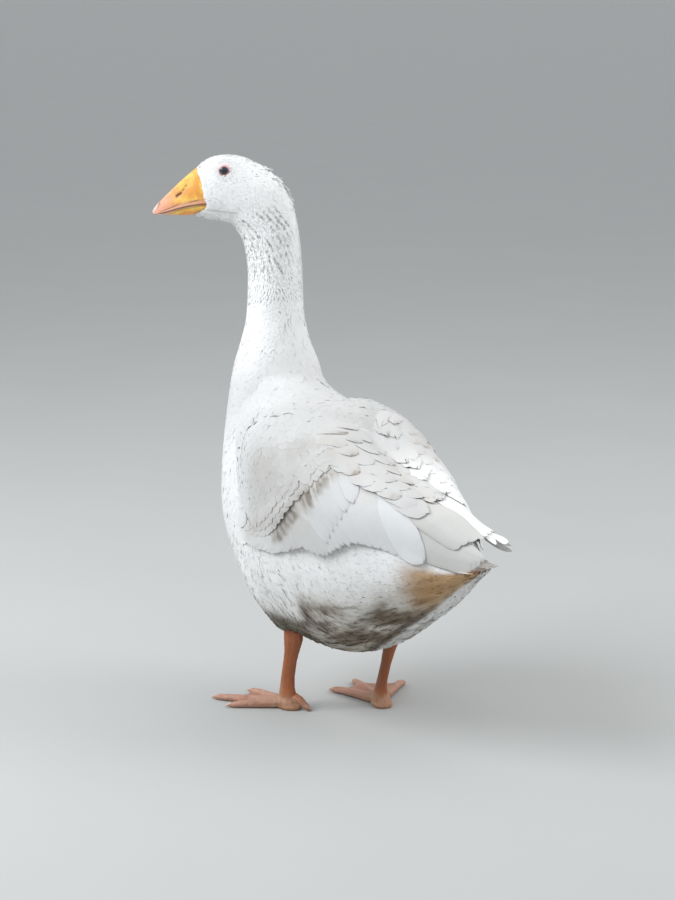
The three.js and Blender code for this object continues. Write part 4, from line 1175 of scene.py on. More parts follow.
def upper_bill():
    n, segs = 96, 72
    q = np.linspace(0, len(UPPER_BILL) - 1, n)
    rows = catmull(UPPER_BILL, q)
    rings = []
    for rf, rz, ef, ez, w, wt in rows:
        L = math.hypot(rf - ef, rz - ez)
        uf, uz = (rf - ef) / L, (rz - ez) / L
        half = [(0, 1), (.42 * wt, .985), (.8 * wt, .92), (1.05 * wt, .78), (lerp(w, wt, .42), .5), (lerp(w, wt, .12), .22), (w, .05), (w * .97, -.005)]
        ctrl = half + [(w * .72, .10), (0, .16)] + [(-a, h) for a, h in ([(w * .72, .10)] + half[:0:-1])]
        r = smooth_ring(np.array([(a, h * L) for a, h in ctrl]), segs)
        rings.append(ahead(ef + uf * r[:, 1], r[:, 0], ez + uz * r[:, 1], HEAD_TURN))
    g = np.array(rings)
    v, f = loft(g)
    ff, ll, zz = head_frame(v)
    # the long nostril with its groove, and the dip along the side
    ax_f, ax_z = unit(np.array([-.82, .57]))
    df, dz = ff - 119.3, zz - 651.2
    along, off = df * ax_f + dz * ax_z, df * -ax_z + dz * ax_f
    slit = np.exp(-np.clip(np.abs(along) - 3.4, 0, None) ** 2 / 1.6) * np.exp(-(off / 1.3) ** 2)
    bf, bz = unit(np.array([-6.0, 8.5]))
    a2, o2 = (ff - 112.4) * bf + (zz - 659.8) * bz, (ff - 112.4) * -bz + (zz - 659.8) * bf
    slit = np.maximum(slit, .55 * np.exp(-np.clip(np.abs(a2) - 4.4, 0, None) ** 2 / 1.6) * np.exp(-(o2 / .8) ** 2))
    bowl = np.exp(-np.clip(np.abs(along + -3) - 7, 0, None) ** 2 / 14) * np.exp(-(off / 3.4) ** 2)
    sgn = np.sign(ll)
    inward = (slit * 2.2 + bowl * .55) * (np.abs(ll) > 2.5)
    s = unit(ahead(0, 1, 0, HEAD_TURN) - ahead(0, 0, 0, HEAD_TURN))
    v = v - s * (sgn * inward)[:, None] * MM
    # low ripples round the base
    rip = np.sin((ff - .35 * (zz - 660)) * 1.15) * np.exp(-((ff - 96) / 9) ** 2) * .10
    v = v + s * (sgn * rip)[:, None] * MM
    c = bill_color(v)
    # painted shade in the nostril's opening
    c = mix(c, np.array([.05, .02, .015]), np.clip(slit * 1.25, 0, 1) * (np.abs(ll) > 2.5))
    c = mix(c, np.array([.55, .20, .08]), bowl * (1 - slit) * .30)
    return v, f, c


def lower_bill():
    n, segs = 70, 56
    rows = catmull(LOWER_BILL, np.linspace(0, len(LOWER_BILL) - 1, n))
    rings = []
    for tf, tz, bf, bz, w in rows:
        t = np.arange(segs) / segs * 2 * np.pi
        ct, st = np.cos(t), np.sin(t)
        k = np.where(ct >= 0, lerp(.78, 1, np.abs(ct) ** .35), lerp(.78, 0, np.abs(ct) ** 1.3))
        rings.append(ahead(lerp(bf, tf, k), w * np.sign(st) * np.abs(st) ** .6 * np.where(ct < 0, 1, .94), lerp(bz, tz, k), HEAD_TURN))
    v, f = loft(np.array(rings))
    return v, f, bill_color(v, False)


for name, made, node_name in (("upper_bill", upper_bill(), "bill_upper"), ("lower_bill", lower_bill(), "bill_lower")):
    v, f, c = made
    me = make_mesh(name, v, f)
    set_color(me, c)
    me.materials.append(MAT_BILL)
    o = add_object(name, me)
    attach(o, "root")
    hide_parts(node_name)

# the horny nail at the tip, a cap raised off the bill, and the comb along the edge
rows = catmull(UPPER_BILL, np.linspace(5.75, 8, 26))
rings = []
for i, (rf, rz, ef, ez, w, wt) in enumerate(rows):
    L = math.hypot(rf - ef, rz - ez)
    uf, uz = (rf - ef) / L, (rz - ez) / L
    grow = .55 * min(1, i / 5)
    low = lerp(.9, .16, smooth(0, 9, i))
    ang = np.linspace(-1, 1, 25)
    wide = lerp(w, wt, .55) + grow
    lat = np.sin(ang * np.pi / 2) * wide * lerp(.8, 1, smooth(0, 8, i))
    h = lerp(low, 1, np.cos(ang * np.pi / 2) ** .55) * L + grow * (np.cos(ang * np.pi / 2))
    outer = ahead(ef + uf * h, lat, ez + uz * h, HEAD_TURN)
    inner = ahead(ef + uf * (h - 1.6) , lat * .86, ez + uz * (h - 1.6), HEAD_TURN)
    rings.append(np.concatenate([outer, inner[::-1]]))
v, f = loft(np.array(rings), flip=True)
me = make_mesh("bill_nail", v, f)
ff, ll, zz = head_frame(v)
set_color(me, mix(np.broadcast_to(np.array([.64, .37, .27]), v.shape), np.array([.70, .52, .43]), smooth(144, 153, ff)))
me.materials.append(MAT_HORN)
o = add_object("bill_nail", me)
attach(o, "root")

cv, cf, cn = [], [], 0
for sgn in (1, -1):
    for i, f0 in enumerate(np.arange(80, 143, 1.5)):
        r = catmull(LOWER_BILL, np.interp(f0, [x[0] for x in LOWER_BILL], np.arange(len(LOWER_BILL))))
        w = r[4] * .93
        z0 = r[1] - .6
        hgt = 2.1 * float(smooth(80, 92, f0) * smooth(145, 136, f0)) + .3
        wdt = .52
        pts = []
        for fo, zo, lo in ((-wdt, -1.2, .15), (wdt, -1.2, .15), (wdt, -1.2, -1.6), (-wdt, -1.2, -1.6),
                           (-wdt * .55, hgt * .55, -.15), (wdt * .55, hgt * .55, -.15), (wdt * .55, hgt * .55, -1.3), (-wdt * .55, hgt * .55, -1.3)):
            pts.append(ahead(f0 + fo - zo * .35, sgn * (w + lo), z0 + zo, HEAD_TURN))
        cv.append(np.array(pts))
        q = np.array([(0, 3, 2, 1), (4, 5, 6, 7), (0, 1, 5, 4), (1, 2, 6, 5), (2, 3, 7, 6), (3, 0, 4, 7)])
        cf.append((q if sgn > 0 else q[:, ::-1]) + cn)
        cn += 8
v = np.concatenate(cv)
me = make_mesh("bill_comb", v, np.concatenate(cf), smooth_shading=False)
set_color(me, mix(np.broadcast_to(PALE, v.shape), PINK, .35 + .3 * noise3(neck_frame(v) * .5, 7)))
me.materials.append(MAT_HORN)
o = add_object("bill_comb", me)
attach(o, "root")


# ---------------------------------------------------------------- the lie of the coat over the form
FEATHER_MM = [44, 44, 43, 42, 41, 41, 40, 38, 35, 31, 26, 22, 17, 15, 13, 12, 11, 10, 9, 8, 7.4, 6.8, 6.2, 5.6, 5.0, 4.2, 3.4]
THIGH_LIE = {1: unit(np.array([-.03, .34, -.92])), -1: unit(np.array([.05, .50, -.84]))}


def smoothed_over(values, tris, rounds):
    w = np.zeros(len(values))
    for k in range(3):
        np.add.at(w, tris[:, k], 1)
    for _ in range(rounds):
        mid = values[tris].mean(1)
        acc = np.zeros_like(values)
        for k in range(3):
            np.add.at(acc, tris[:, k], mid)
        values = acc / np.maximum(w, 1)[:, None]
    return values


form_s, form_th, form_lie = body_place(FORM_V)
form_n = normals_of(FORM_V, FORM_T)
_q = neck_frame(FORM_V)
_low = np.where((_q[:, 2] < 225) & (_q[:, 1] > 10) & (_q[:, 1] < 200) & (np.abs(_q[:, 0]) > 20))[0]
form_out = np.zeros(len(FORM_V))
for _i in _low:
    _h = body_bvh.find_nearest(FORM_V[_i])
    form_out[_i] = (Vector(FORM_V[_i]) - _h[0]).dot(_h[1])
_w = smooth(.001, .010, form_out)[:, None]
_side = np.sign(_q[:, 0])
_tl = np.where(_side[:, None] > 0, THIGH_LIE[1], THIGH_LIE[-1])
# on the flanks the coat hangs more than it does on the back
_k = 1.05 * smooth(300, 150, _q[:, 1]) * smooth(-45, 5, _q[:, 1]) * smooth(105, 135, _q[:, 2]) * smooth(275, 235, _q[:, 2]) * smooth(25, 60, np.abs(_q[:, 0]))
form_lie = unit(form_lie + _k[:, None] * np.array([0, .12, -1.0]))
form_lie = unit(form_lie * (1 - _w) + _tl * _w)
# on the upper neck it slants towards the back, in ridges
_round = np.where(np.sin(form_th) >= 0, form_th, 2 * np.pi - form_th)
_back = unit(np.cross(form_n, form_lie)) * np.where(np.sin(form_th) >= 0, 1, -1)[:, None]
_probe = neck_frame(FORM_V + _back * .004)
NECK_SLANT = .46
_slant = NECK_SLANT * smooth(14.2, 15.2, form_s) * smooth(19.6, 18.6, form_s) * smooth(.10, .6, _round) * smooth(3.1, 2.6, _round)
_sgn = np.sign((body_place(FORM_V + _back * .006)[1] - form_th + np.pi) % (2 * np.pi) - np.pi) * np.where(np.sin(form_th) >= 0, -1, 1)
form_lie = unit(form_lie + _slant[:, None] * _back * _sgn[:, None])
form_lie = unit(smoothed_over(form_lie, FORM_T, 5))
FORM_TREE = KDTree(len(FORM_V))
for _i, _p in enumerate(FORM_V):
    FORM_TREE.insert(_p, _i)
FORM_TREE.balance()


def form_index(points):
    return np.array([FORM_TREE.find(p)[1] for p in points])


def wing_cover(p):
    """How deep a place lies behind the rim of the folded wing over it, mm; negative outside it."""
    q = neck_frame(p)
    x, y, z = np.abs(q[..., 0]), q[..., 1], q[..., 2]
    a = np.clip(wing_start(y), 0, 1)
    x0 = wing_half(y) * a ** (2 / wing_round(y))
    d = np.minimum(z - wing_edge(y), x - x0)
    return np.where(y < 64, -smooth(64, 40, y) * 40 + np.minimum(d, 8), d)


def ridges(s, th, p):
    """The furrowed feathering of the upper neck: height -1 to 1, and how much painted shade lies in the furrows and the
    fold of the jaw.
    """
    q = neck_frame(p)
    side = np.where(np.sin(th) >= 0, 1, -1)
    a = np.where(side > 0, th, 2 * np.pi - th)
    run = q[..., 2]
    wob = fbm(np.stack([a * 2.2, run * .03, side * 3.0], -1), 61, 2)
    phase = (a * 33 - run * NECK_SLANT) / 7.4 + wob * .9
    tri = np.abs((phase % 1) * 2 - 1)                       # 0 in the furrow, 1 on the ridge
    amount = smooth(528, 572, run) * smooth(652, 622, run) * smooth(.35, .95, a) * smooth(3.1, 2.8, a) * smooth(19.5, 18.6, s)
    brk = smooth(.34, .50, noise3(np.stack([a * 1.6, run * .038, side * 5.0 + np.floor(phase) * 3.7], -1), 67))
    deep = np.exp(-(tri / .24) ** 2)
    # the fold of the jaw, from the corner of the mouth back, with painted shade in it
    f, l, z = head_frame(p)
    fold = np.exp(-((z - np.interp(f, [41, 84], [628.5, 633.0])) / 1.5) ** 2) * smooth(38, 48, f) * smooth(85, 82, f) * (np.abs(l) > 8)
    return amount * (-deep * 1.9 * (.30 + .70 * brk) + .35 * tri) - fold * .6, np.maximum(amount * deep * brk, fold * .26)


def coat_feathers(P0, N0, seed, K, M, region):
    """Lays one set of feathers on the form; region(points, s, th) gives their numbers."""
    g = np.random.default_rng(seed)
    n = len(P0)
    idx = form_index(P0)
    s, th = form_s[idx], form_th[idx]
    L = np.interp(s, np.arange(27), FEATHER_MM) * MM
    o = region(P0, s, th, g)
    L = L * o.get("length", 1.0) * g.uniform(.86, 1.14, n)
    W = L * o["width"] * g.uniform(.9, 1.1, n)
    tg = {5: [0, .3, .6, .86, 1], 6: [0, .22, .45, .68, .88, 1], 7: [0, .18, .37, .57, .76, .91, 1.0]}[K]
    t = np.array(tg)
    u = np.linspace(-1, 1, M)
    swirl = (fbm(neck_frame(P0) * o.get("swirl_scale", .02), seed + 5, 2) - .5) * 2 * o.get("swirl", .16)
    bend = swirl + g.normal(0, o.get("stray", .07), n)
    start = P0 - form_lie[idx] * (L * .5)[:, None]

    def lie_of(pts):
        return form_lie[form_index(pts)]
    P, U = march(FORM_BVH, start, lie_of, L[:, None] * t[None, :], guide=bend)
    U = smooth_rows(U)
    D = unit(np.gradient(P, axis=1))
    S = unit(np.cross(U, D))
    depth = coat_depth(s) + .0003
    tip = o["tip"] * MM
    sink = o.get("sink", 0.0) * MM
    rise = -sink - (depth - sink)[:, None] * (1 - t[None, :]) ** o.get("ease", 2.3) + tip[:, None] * t[None, :] ** 2.2
    rnd = vane_profile(t, .58)
    pnt = (.40 + .60 * smooth(0, .40, t)) * np.clip(1 - t ** 2.4, .05, 1)
    pk = np.broadcast_to(o.get("point", 0.0), (n,))[:, None]
    prof = rnd[None] * (1 - pk) + pnt[None] * pk
    half = (W[:, None] * prof * .5)[:, :, None]
    q = P[:, :, None, :] + S[:, :, None, :] * (half * u[None, None, :])[..., None]
    if M >= 5:
        flat = q.reshape(-1, 3)
        out_p, out_n = np.empty_like(flat), np.empty_like(flat)
        for i in range(len(flat)):
            loc, nor, _, _ = FORM_BVH.find_nearest(flat[i])
            out_p[i], out_n[i] = loc, nor
        q = out_p.reshape(q.shape)
        up = out_n.reshape(q.shape)
        up = unit(up + U[:, :, None, :])
    else:
        up = np.broadcast_to(U[:, :, None, :], q.shape)
        q = q - up * ((half * u[None, None, :]) ** 2 / .075)[..., None]
    camber = o.get("camber", .05)
    lift = rise[:, :, None] - (np.broadcast_to(camber, (n,)) * W)[:, None, None] * (u ** 2)[None, None, :] * (.35 + .65 * smooth(0, .6, t))[None, :, None]
    # a slight twist and lifted corners, so that no two lie alike
    lift = lift + (g.normal(0, 1, n) * o.get("roll", .0002))[:, None, None] * u[None, None, :] * t[None, :, None]
    if "furrow" in o:
        ii = form_index(q.reshape(-1, 3))
        hgt, dark = ridges(form_s[ii], form_th[ii], q.reshape(-1, 3))
        lift = lift + hgt.reshape(q.shape[:3]) * 1.6 * MM * smooth(0, .35, t)[None, :, None]
        dark = dark.reshape(q.shape[:3])
    q = q + up * lift[..., None]
    # uneven ends
    rag = g.normal(0, 1, (n, M)) * (o.get("rag", .03) * L)[:, None]
    endw = smooth(.7, 1, t)
    q = q + D[:, :, None, :] * (rag[:, None, :] * endw[None, :, None])[..., None]
    col = plumage(q)
    shade = 1 - o.get("root_dark", .10) * (1 - t) ** 1.5
    col = col * shade[None, :, None, None]
    col = col * (1 + g.normal(0, .012, n))[:, None, None, None]
    # painted shade in the neck's furrows and in the fold of the jaw
    if "furrow" in o:
        col = mix(col, np.array([.24, .225, .20]), np.clip(dark * 1.0, 0, .82))
    if "stain" in o:
        k = np.broadcast_to(o["stain"], (n,))[:, None, None] * smooth(.25, .8, t)[None, :, None] * np.ones(M)
        col = mix(col, o.get("stain_color", DIRT), np.clip(k, 0, .9))
    return dict(top=q, up=up, col=np.clip(col, 0, 1), s=s, th=th, u=u, t=t, L=L, root=P0)


def put(name, sets, material, slot, soft, limit=188000):
    """Writes sets of feathers as pieces that stay under the limit of triangles."""
    for f in sets:
        n, K, M = f["top"].shape[:3]
        per = ((K - 1) * (M - 1)) * 4
        parts = max(1, math.ceil(n * per / limit))
        order = np.argsort(f["s"] if f.get("split", "th") == "s" else f["th"], kind="stable")
        for k, ids in enumerate(np.array_split(order, parts)):
            c = Coat(name + f.get("tag", "") + ("" if parts == 1 else "_%d" % (k + 1)))
            s, th = f["s"][ids], f["th"][ids]
            lo, hi = s.min() - .02, s.max() + .02
            a, b = (th.min(), th.max()) if parts > 1 else (0, 2 * np.pi)
            uv = np.stack([.01 + .98 * (th - a) / max(b - a, 1e-6), .01 + .98 * (s - lo) / (hi - lo)], 1)
            sf = f.get("soft", soft)
            sf = sf[ids][:, None, None, None] if np.ndim(sf) else sf
            c.add(f["top"][ids], f["up"][ids], f["col"][ids], .00012 if M < 5 else .0002, uv, f["u"], f["t"], soft=sf)
            c.finish(material, slot)


# ---------------------------------------------------------------- head, neck, breast and body
def head_keep(p):
    return (np.where(form_s[form_index(p)] > 18.0, 1, 0) > 0) & (line_ahead(p) < -1.7) & (eye_distance(p) > 8.0)


def zone(lo, hi):
    def keep(p):
        i = form_index(p)
        s = form_s[i]
        return (s >= lo) & (s < hi)
    return keep


def radius_for(share):
    def f(p):
        i = form_index(p)
        return np.interp(form_s[i], np.arange(27), FEATHER_MM) * MM * share
    return f


def head_region(p, s, th, g):
    back = smooth(.55, .15, np.abs(np.angle(np.exp(1j * th)))) * smooth(18.0, 18.8, s) * smooth(21.6, 20.4, s)
    clump = smooth(.50, .72, noise3(neck_frame(p) * .16, 71))
    e = eye_distance(p)
    near = smooth(18, 9, e)
    return dict(length=(1 - .45 * near) * (1 + .75 * back * clump), width=.42 + .06 * near,
                tip=.03 + 5.5 * back * clump * g.uniform(.3, 1, len(p)), swirl=.12, stray=.06, rag=.03, camber=.04, furrow=1,
                point=.35 + .4 * back, root_dark=.05)


def neck_region(p, s, th, g):
    return dict(width=.34, tip=np.full(len(p), .08), swirl=.05, swirl_scale=.03, stray=.035, rag=.04, camber=.04, furrow=1, point=.35, root_dark=.05, roll=.00006)


def breast_region(p, s, th, g):
    return dict(width=.50, tip=np.full(len(p), .0), swirl=.12, stray=.06, rag=.02, camber=.02, point=.25, root_dark=.03, roll=.00008, ease=3.0)


def body_region(p, s, th, g):
    q = neck_frame(p)
    x, y, z = q[:, 0], q[:, 1], q[:, 2]
    flank = smooth(-30, 30, y) * smooth(290, 210, y) * smooth(258, 225, z)
    wet = smooth(200, 140, z) * smooth(40, 120, y)
    under = smooth(230, 290, y) * smooth(262, 225, z)
    n = len(p)
    fringe = np.zeros(n)
    for lx, ly in ((52, 100), (-51, 168)):
        fringe = np.maximum(fringe, smooth(42, 14, np.hypot(x - lx, (y - ly) * .8)) * smooth(150, 118, z))
    clump = noise3(q * .05, 81)
    return dict(length=(1 + .10 * flank - .42 * fringe) * (1 - .45 * smooth(348, 376, y)), width=.50 - .08 * flank * (.3 + .7 * wet) - .10 * fringe - .04 * under,
                tip=.05 + flank * .25 * g.uniform(0, 1, n) ** 2 + wet * 1.0 * g.uniform(0, 1, n) ** 2 + under * .3 * g.uniform(0, 1, n),
                swirl=.16 + .14 * flank, swirl_scale=.03, stray=.05 + .04 * flank + .05 * wet, rag=.03 + .04 * flank,
                point=np.clip(.15 + .25 * flank + .35 * wet, 0, .9), ease=3.2, camber=.026 + .069 * wet, root_dark=.05,
                stain=np.clip(wet * smooth(.46, .70, streaks(p)) * g.uniform(.2, .9, n), 0, .75), roll=.00007 + .00013 * wet)


def not_under_wing(p):
    i = form_index(p)
    L = np.interp(form_s[i], np.arange(27), FEATHER_MM) * MM
    tip = p + form_lie[i] * L[:, None] * .6
    return (np.minimum(wing_cover(p), wing_cover(tip)) < 24)


def body_keep(lo, hi):
    z = zone(lo, hi)
    return lambda p: z(p) & not_under_wing(p)


P0, N0 = spread(FORM_V, FORM_T, lambda p: radius_for(.235)(p) * (1 - .25 * smooth(18, 9, eye_distance(p))), head_keep, 101, tries=5)
f_head = coat_feathers(P0, N0, 102, 5, 3, head_region)
P0, N0 = spread(FORM_V, FORM_T, radius_for(.215), zone(14.4, 18.02), 103, tries=5)
f_neck1 = coat_feathers(P0, N0, 104, 5, 3, neck_region)
P0, N0 = spread(FORM_V, FORM_T, radius_for(.21), zone(11.5, 14.6), 105, tries=5)
f_neck2 = coat_feathers(P0, N0, 106, 5, 3, lambda p, s, th, g: dict(width=.46, tip=np.full(len(p), .0), swirl=.12, stray=.06, rag=.03, camber=.02, point=.3, root_dark=.03, roll=.00005, ease=3.0))
put("coat_head", [f_head], MAT_SMALL, "white_plumage", .82)
put("coat_neck_upper", [f_neck1], MAT_SMALL, "white_plumage", .6)
put("coat_neck_lower", [f_neck2], MAT_SMALL, "white_plumage", .90)
P0, N0 = spread(FORM_V, FORM_T, radius_for(.20), body_keep(8.0, 11.95), 107, tries=6)
f_breast = coat_feathers(P0, N0, 108, 7, 5, breast_region)
put("coat_breast", [f_breast], MAT_BODY, "white_plumage", .92)
# the down below, which closes the gaps between the feathers
P0, N0 = spread(FORM_V, FORM_T, radius_for(.30), body_keep(-.1, 12.0), 121, tries=5)
f_down = coat_feathers(P0, N0, 122, 5, 3, lambda p, s, th, g: dict(width=.85, length=.9 * (1 - .45 * smooth(348, 376, neck_frame(p)[:, 1])), tip=np.full(len(p), -.2), sink=1.6, ease=2.0, rag=.03, root_dark=.0))
put("down", [f_down], MAT_SMALL, "white_plumage", .8)
P0, N0 = spread(FORM_V, FORM_T, radius_for(.30), zone(11.9, 19.0), 123, tries=5)
f_down = coat_feathers(P0, N0, 124, 5, 3, lambda p, s, th, g: dict(width=.85, length=.9, tip=np.full(len(p), -.1), sink=.8, ease=2.0, rag=.03, root_dark=.0, furrow=1))
put("down_neck", [f_down], MAT_SMALL, "white_plumage", .8)
P0, N0 = spread(FORM_V, FORM_T, radius_for(.175), body_keep(-.1, 8.02), 109, tries=6)
f_body = coat_feathers(P0, N0, 110, 7, 5, body_region)
f_body["soft"] = .84 - .30 * smooth(225, 150, neck_frame(P0)[:, 2])
put("coat_body", [f_body], MAT_BODY, "white_plumage", .6)


# fine loose strands over the flanks, belly and vent
def strand_keep(p):
    q = neck_frame(p)
    i = form_index(p)
    tip = p + form_lie[i] * .012
    return (q[:, 2] < 262) & (q[:, 1] > -25) & (form_s[i] < 8.6) & (np.minimum(wing_cover(p), wing_cover(tip)) < 14)


def strand_radius(p):
    q = neck_frame(p)
    return (4.0 + 1.6 * smooth(40, -20, q[:, 1]) + 1.2 * smooth(225, 255, q[:, 2])) * MM


def strand_region(p, s, th, g):
    q = neck_frame(p)
    n = len(p)
    base = np.interp(s, np.arange(27), FEATHER_MM)
    x, y, z = q[:, 0], q[:, 1], q[:, 2]
    fringe = np.zeros(n)
    for lx, ly in ((52, 100), (-51, 168)):
        fringe = np.maximum(fringe, smooth(42, 14, np.hypot(x - lx, (y - ly) * .8)) * smooth(150, 118, z))
    wet = smooth(190, 130, z) * smooth(60, 130, y)
    return dict(length=(26 + 8 * wet) / base * (1 - .45 * fringe), width=(.12 - .06 * wet) * g.uniform(.7, 1.3, n), tip=.22 + (.5 + .7 * wet) * g.uniform(0, 1, n) ** 2.5,
                swirl=.26, swirl_scale=.035, stray=.09, rag=.05, point=.85, camber=.03, root_dark=.0, ease=1.8,
                stain=np.clip(wet * smooth(.40, .72, streaks(p)) * g.uniform(0, 1, n) ** 1.5, 0, .8), stain_color=SOIL)


P0, N0 = spread(FORM_V, FORM_T, strand_radius, strand_keep, 131, tries=4)
f_strand = coat_feathers(P0, N0, 132, 6, 3, strand_region)
put("coat_strands", [f_strand], MAT_SMALL, "white_plumage", .85)


# ---------------------------------------------------------------- the folded wings
ASH = np.array([.60, .575, .545])
# a warm beige: a tint on some feathers, and painted shade at the rear of the scapulars and between the wings
BEIGE_TINT_AND_SHADE = np.array([.76, .715, .66])
UMBER = np.array([.34, .27, .21])
WING_PAINTED_SHADE = .86                                        # painted shade: the wings painted darker than the neck


def wing_tone(y, d, t, u, kind, g):
    """Colour of wing feathers by place on the wing, along (t) and across (u) the feather, with the wing's painted
    shade.
    """
    place = np.stack([y * .03, d * .03, np.full_like(y, kind * 3.1)], -1)
    n1, n2 = fbm(place, 91, 3), fbm(place * 3.1, 95, 2)
    cov = smooth(48, 86, y) * smooth(262, 200, y) * smooth(22, 72, d)
    # painted shade: the wing greyer than the body, the coverts greyer still and unevenly, less of it towards the front
    c = mix(np.broadcast_to(np.array([.72, .72, .715]), y.shape + (3,)), np.array([.595, .585, .56]), cov * (.62 + .5 * smooth(.3, .7, n1)))
    c = mix(c, np.array([.77, .775, .77]), smooth(82, 52, y) * .8)
    c = mix(c, ASH * .85, cov * .30 * smooth(.45, .75, n2))
    # the scallops: a paler rim, a greyer middle
    c = mix(c, ASH * .8, cov * .09 * smooth(.75, .1, np.abs(u)) * smooth(.35, .7, t) * smooth(1.0, .86, t))
    return mix(c, np.array([.72, .71, .69]), cov * .20 * np.maximum(smooth(.75, 1, np.abs(u)), smooth(.9, 1, t)))


def wing_set(c, side, roots, tips, widths, bow, lift0, lift1, K, M, kind, seed, tip_round=.6, point=0.0, tilt=.5, camber=.035,
             rag=.012, soft=.35, tone=None, patch=.012, thick=.00028, uv_box=(40, 430, -20, 215), skew=0.0):
    """A row of feathers on the closed wing, from roots to tips, both (n, 2) as (behind the neck, down the wing), mm."""
    g = np.random.default_rng(seed)
    roots, tips = np.asarray(roots, float), np.asarray(tips, float)
    n = len(roots)
    widths = np.broadcast_to(np.asarray(widths, float), (n,))
    bow = np.broadcast_to(np.asarray(bow, float), (n,))
    lift0, lift1 = np.broadcast_to(np.asarray(lift0, float), (n,)), np.broadcast_to(np.asarray(lift1, float), (n,))
    t = 1 - (1 - np.linspace(0, 1, K)) ** 1.45
    u = np.linspace(-1, 1, M)
    e = unit(tips - roots)
    L = np.linalg.norm(tips - roots, axis=1)
    perp = np.stack([-e[:, 1], e[:, 0]], -1)
    mid = (roots + tips) / 2 + perp * bow[:, None]
    tt = t[None, :, None]
    C = roots[:, None] * (1 - tt) ** 2 + 2 * tt * (1 - tt) * mid[:, None] + tips[:, None] * tt ** 2
    dC = unit(np.gradient(C, axis=1))
    pC = np.stack([-dC[..., 1], dC[..., 0]], -1)
    rnd = (.52 + .48 * smooth(0, .45, t)) * np.sqrt(np.clip(1 - (np.clip(t - tip_round, 0, None) / (1 - tip_round)) ** 2, 0, 1))
    rnd = np.maximum(rnd, .07)
    pnt = (.55 + .45 * smooth(0, .3, t)) * np.clip(1 - t ** 2.1, .04, 1)
    pk = np.broadcast_to(point, (n,))[:, None]
    prof = rnd[None] * (1 - pk) + pnt[None] * pk
    half = (widths[:, None] * prof * .5)[:, :, None] * (1 + skew * u)[None, None, :]
    Q = C[:, :, None, :] + pC[:, :, None, :] * (half * u[None, None, :])[..., None]
    # uneven rim: fine splits in the vane
    wob = g.normal(0, 1, (n, K, M)) * rag * widths[:, None, None] * (np.abs(u) > .9)[None, None, :]
    Q = Q + pC[:, :, None, :] * wob[..., None]
    endw = (smooth(.86, 1, t)[None, :, None] * g.normal(0, rag * 1.6, (n, 1, M)) * np.minimum(L, 34)[:, None, None])
    Q = Q + dC[:, :, None, :] * endw[..., None]
    tl = np.broadcast_to(tilt, (n,))[:, None, None]
    lift = (lift0[:, None] + (lift1 - lift0)[:, None] * smooth(0, 1, t)[None, :])[:, :, None]
    lift = lift + tl * u[None, None, :] * (widths / 26)[:, None, None] * smooth(0, .5, t)[None, :, None]
    lift = lift - camber * widths[:, None, None] * (u ** 2)[None, None, :]
    lift = lift + (g.normal(0, .12, n)[:, None, None] + g.normal(0, .20, n)[:, None, None] * u[None, None, :]) * t[None, :, None]
    lift = lift + (noise3(np.stack([Q[..., 0] * .09, Q[..., 1] * .09, np.full(Q.shape[:3], seed * 1.7)], -1) + np.arange(n)[:, None, None, None] * 7.3, seed) - .5) * .5
    p, nor = wing_at(Q[..., 0], Q[..., 1], side, lift)
    col = WING_PAINTED_SHADE * (tone or wing_tone)(Q[..., 0], Q[..., 1], np.broadcast_to(t[None, :, None], (n, K, M)), np.broadcast_to(u[None, None, :], (n, K, M)), kind, g)
    # painted light: the far wing whiter, most of all towards its rear
    if side < 0:
        col = mix(col, WHITE, .10 + .85 * smooth(215, 290, Q[..., 0]))
    col = np.clip(col * (1 + g.normal(0, .012, n))[:, None, None, None], 0, 1)
    y0, y1, d0, d1 = uv_box
    uv = np.stack([.02 + .96 * (roots[:, 0] - y0) / (y1 - y0), .02 + .96 * (roots[:, 1] - d0) / (d1 - d0)], 1)
    if side > 0:
        p, nor, col = p[:, :, ::-1], nor[:, :, ::-1], col[:, :, ::-1]
        c.add(p, nor, col, thick, np.clip(uv, .01, .99), -u[::-1], t, patch=patch, soft=soft)
    else:
        c.add(p, nor, col, thick, np.clip(uv, .01, .99), u, t, patch=patch, soft=soft)


def along(points, n, jitter=0.0, g=None):
    """n places evenly along a path of (x, y) points."""
    p = np.array(points, float)
    d = np.concatenate([[0], np.cumsum(np.linalg.norm(np.diff(p, axis=0), axis=1))])
    q = (np.arange(n) + .5) / n * d[-1]
    if g is not None:
        q = q + g.normal(0, jitter, n)
    return np.stack([np.interp(q, d, p[:, k]) for k in (0, 1)], 1)


def back_from(tips, length, angle):
    a = np.radians(np.broadcast_to(angle, (len(tips),)))
    L = np.broadcast_to(length, (len(tips),))
    return tips - np.stack([np.cos(a), np.sin(a)], 1) * L[:, None]


def covert_row_shade(c, y, d, g, off, k0, t, u):
    """Painted shade: long grey-brown streaks where the greater coverts come out from under the row above."""
    n = y.shape[0]
    k = g.uniform(.35, 1, n)[:, None, None]
    ahead = (d - np.interp(y, [100, 132, 152, 166, 176, 192, 206, 216, 240], [172, 172, 172, 164, 158, 147, 130, 99, 40])) * .74
    s = smooth(-15, -8, ahead) * smooth(16, 6, ahead) * smooth(124, 148, y) * smooth(232, 206, y)
    fine = smooth(.34, .60, noise3(np.stack([u * 4.2 + 0 * y, t * .8 + 0 * y, np.arange(n)[:, None, None] * 5.1 + off + 0 * y], -1), 97))
    return mix(c, np.array([.215, .175, .14]), np.clip(s * k * (.22 + .78 * fine) * k0 * 1.5, 0, .85))


def tone_median(y, d, t, u, kind, g):
    return covert_row_shade(wing_tone(y, d, t, u, kind, g), y, d, g, 50.0, .55, t, u)


def tone_great(y, d, t, u, kind, g):
    c = wing_tone(y, d, t, u, kind, g)
    c = mix(c, np.array([.68, .68, .685]), smooth(.55, .9, t) * .6)
    return covert_row_shade(c, y, d, g, 0.0, 1.25, t, u)


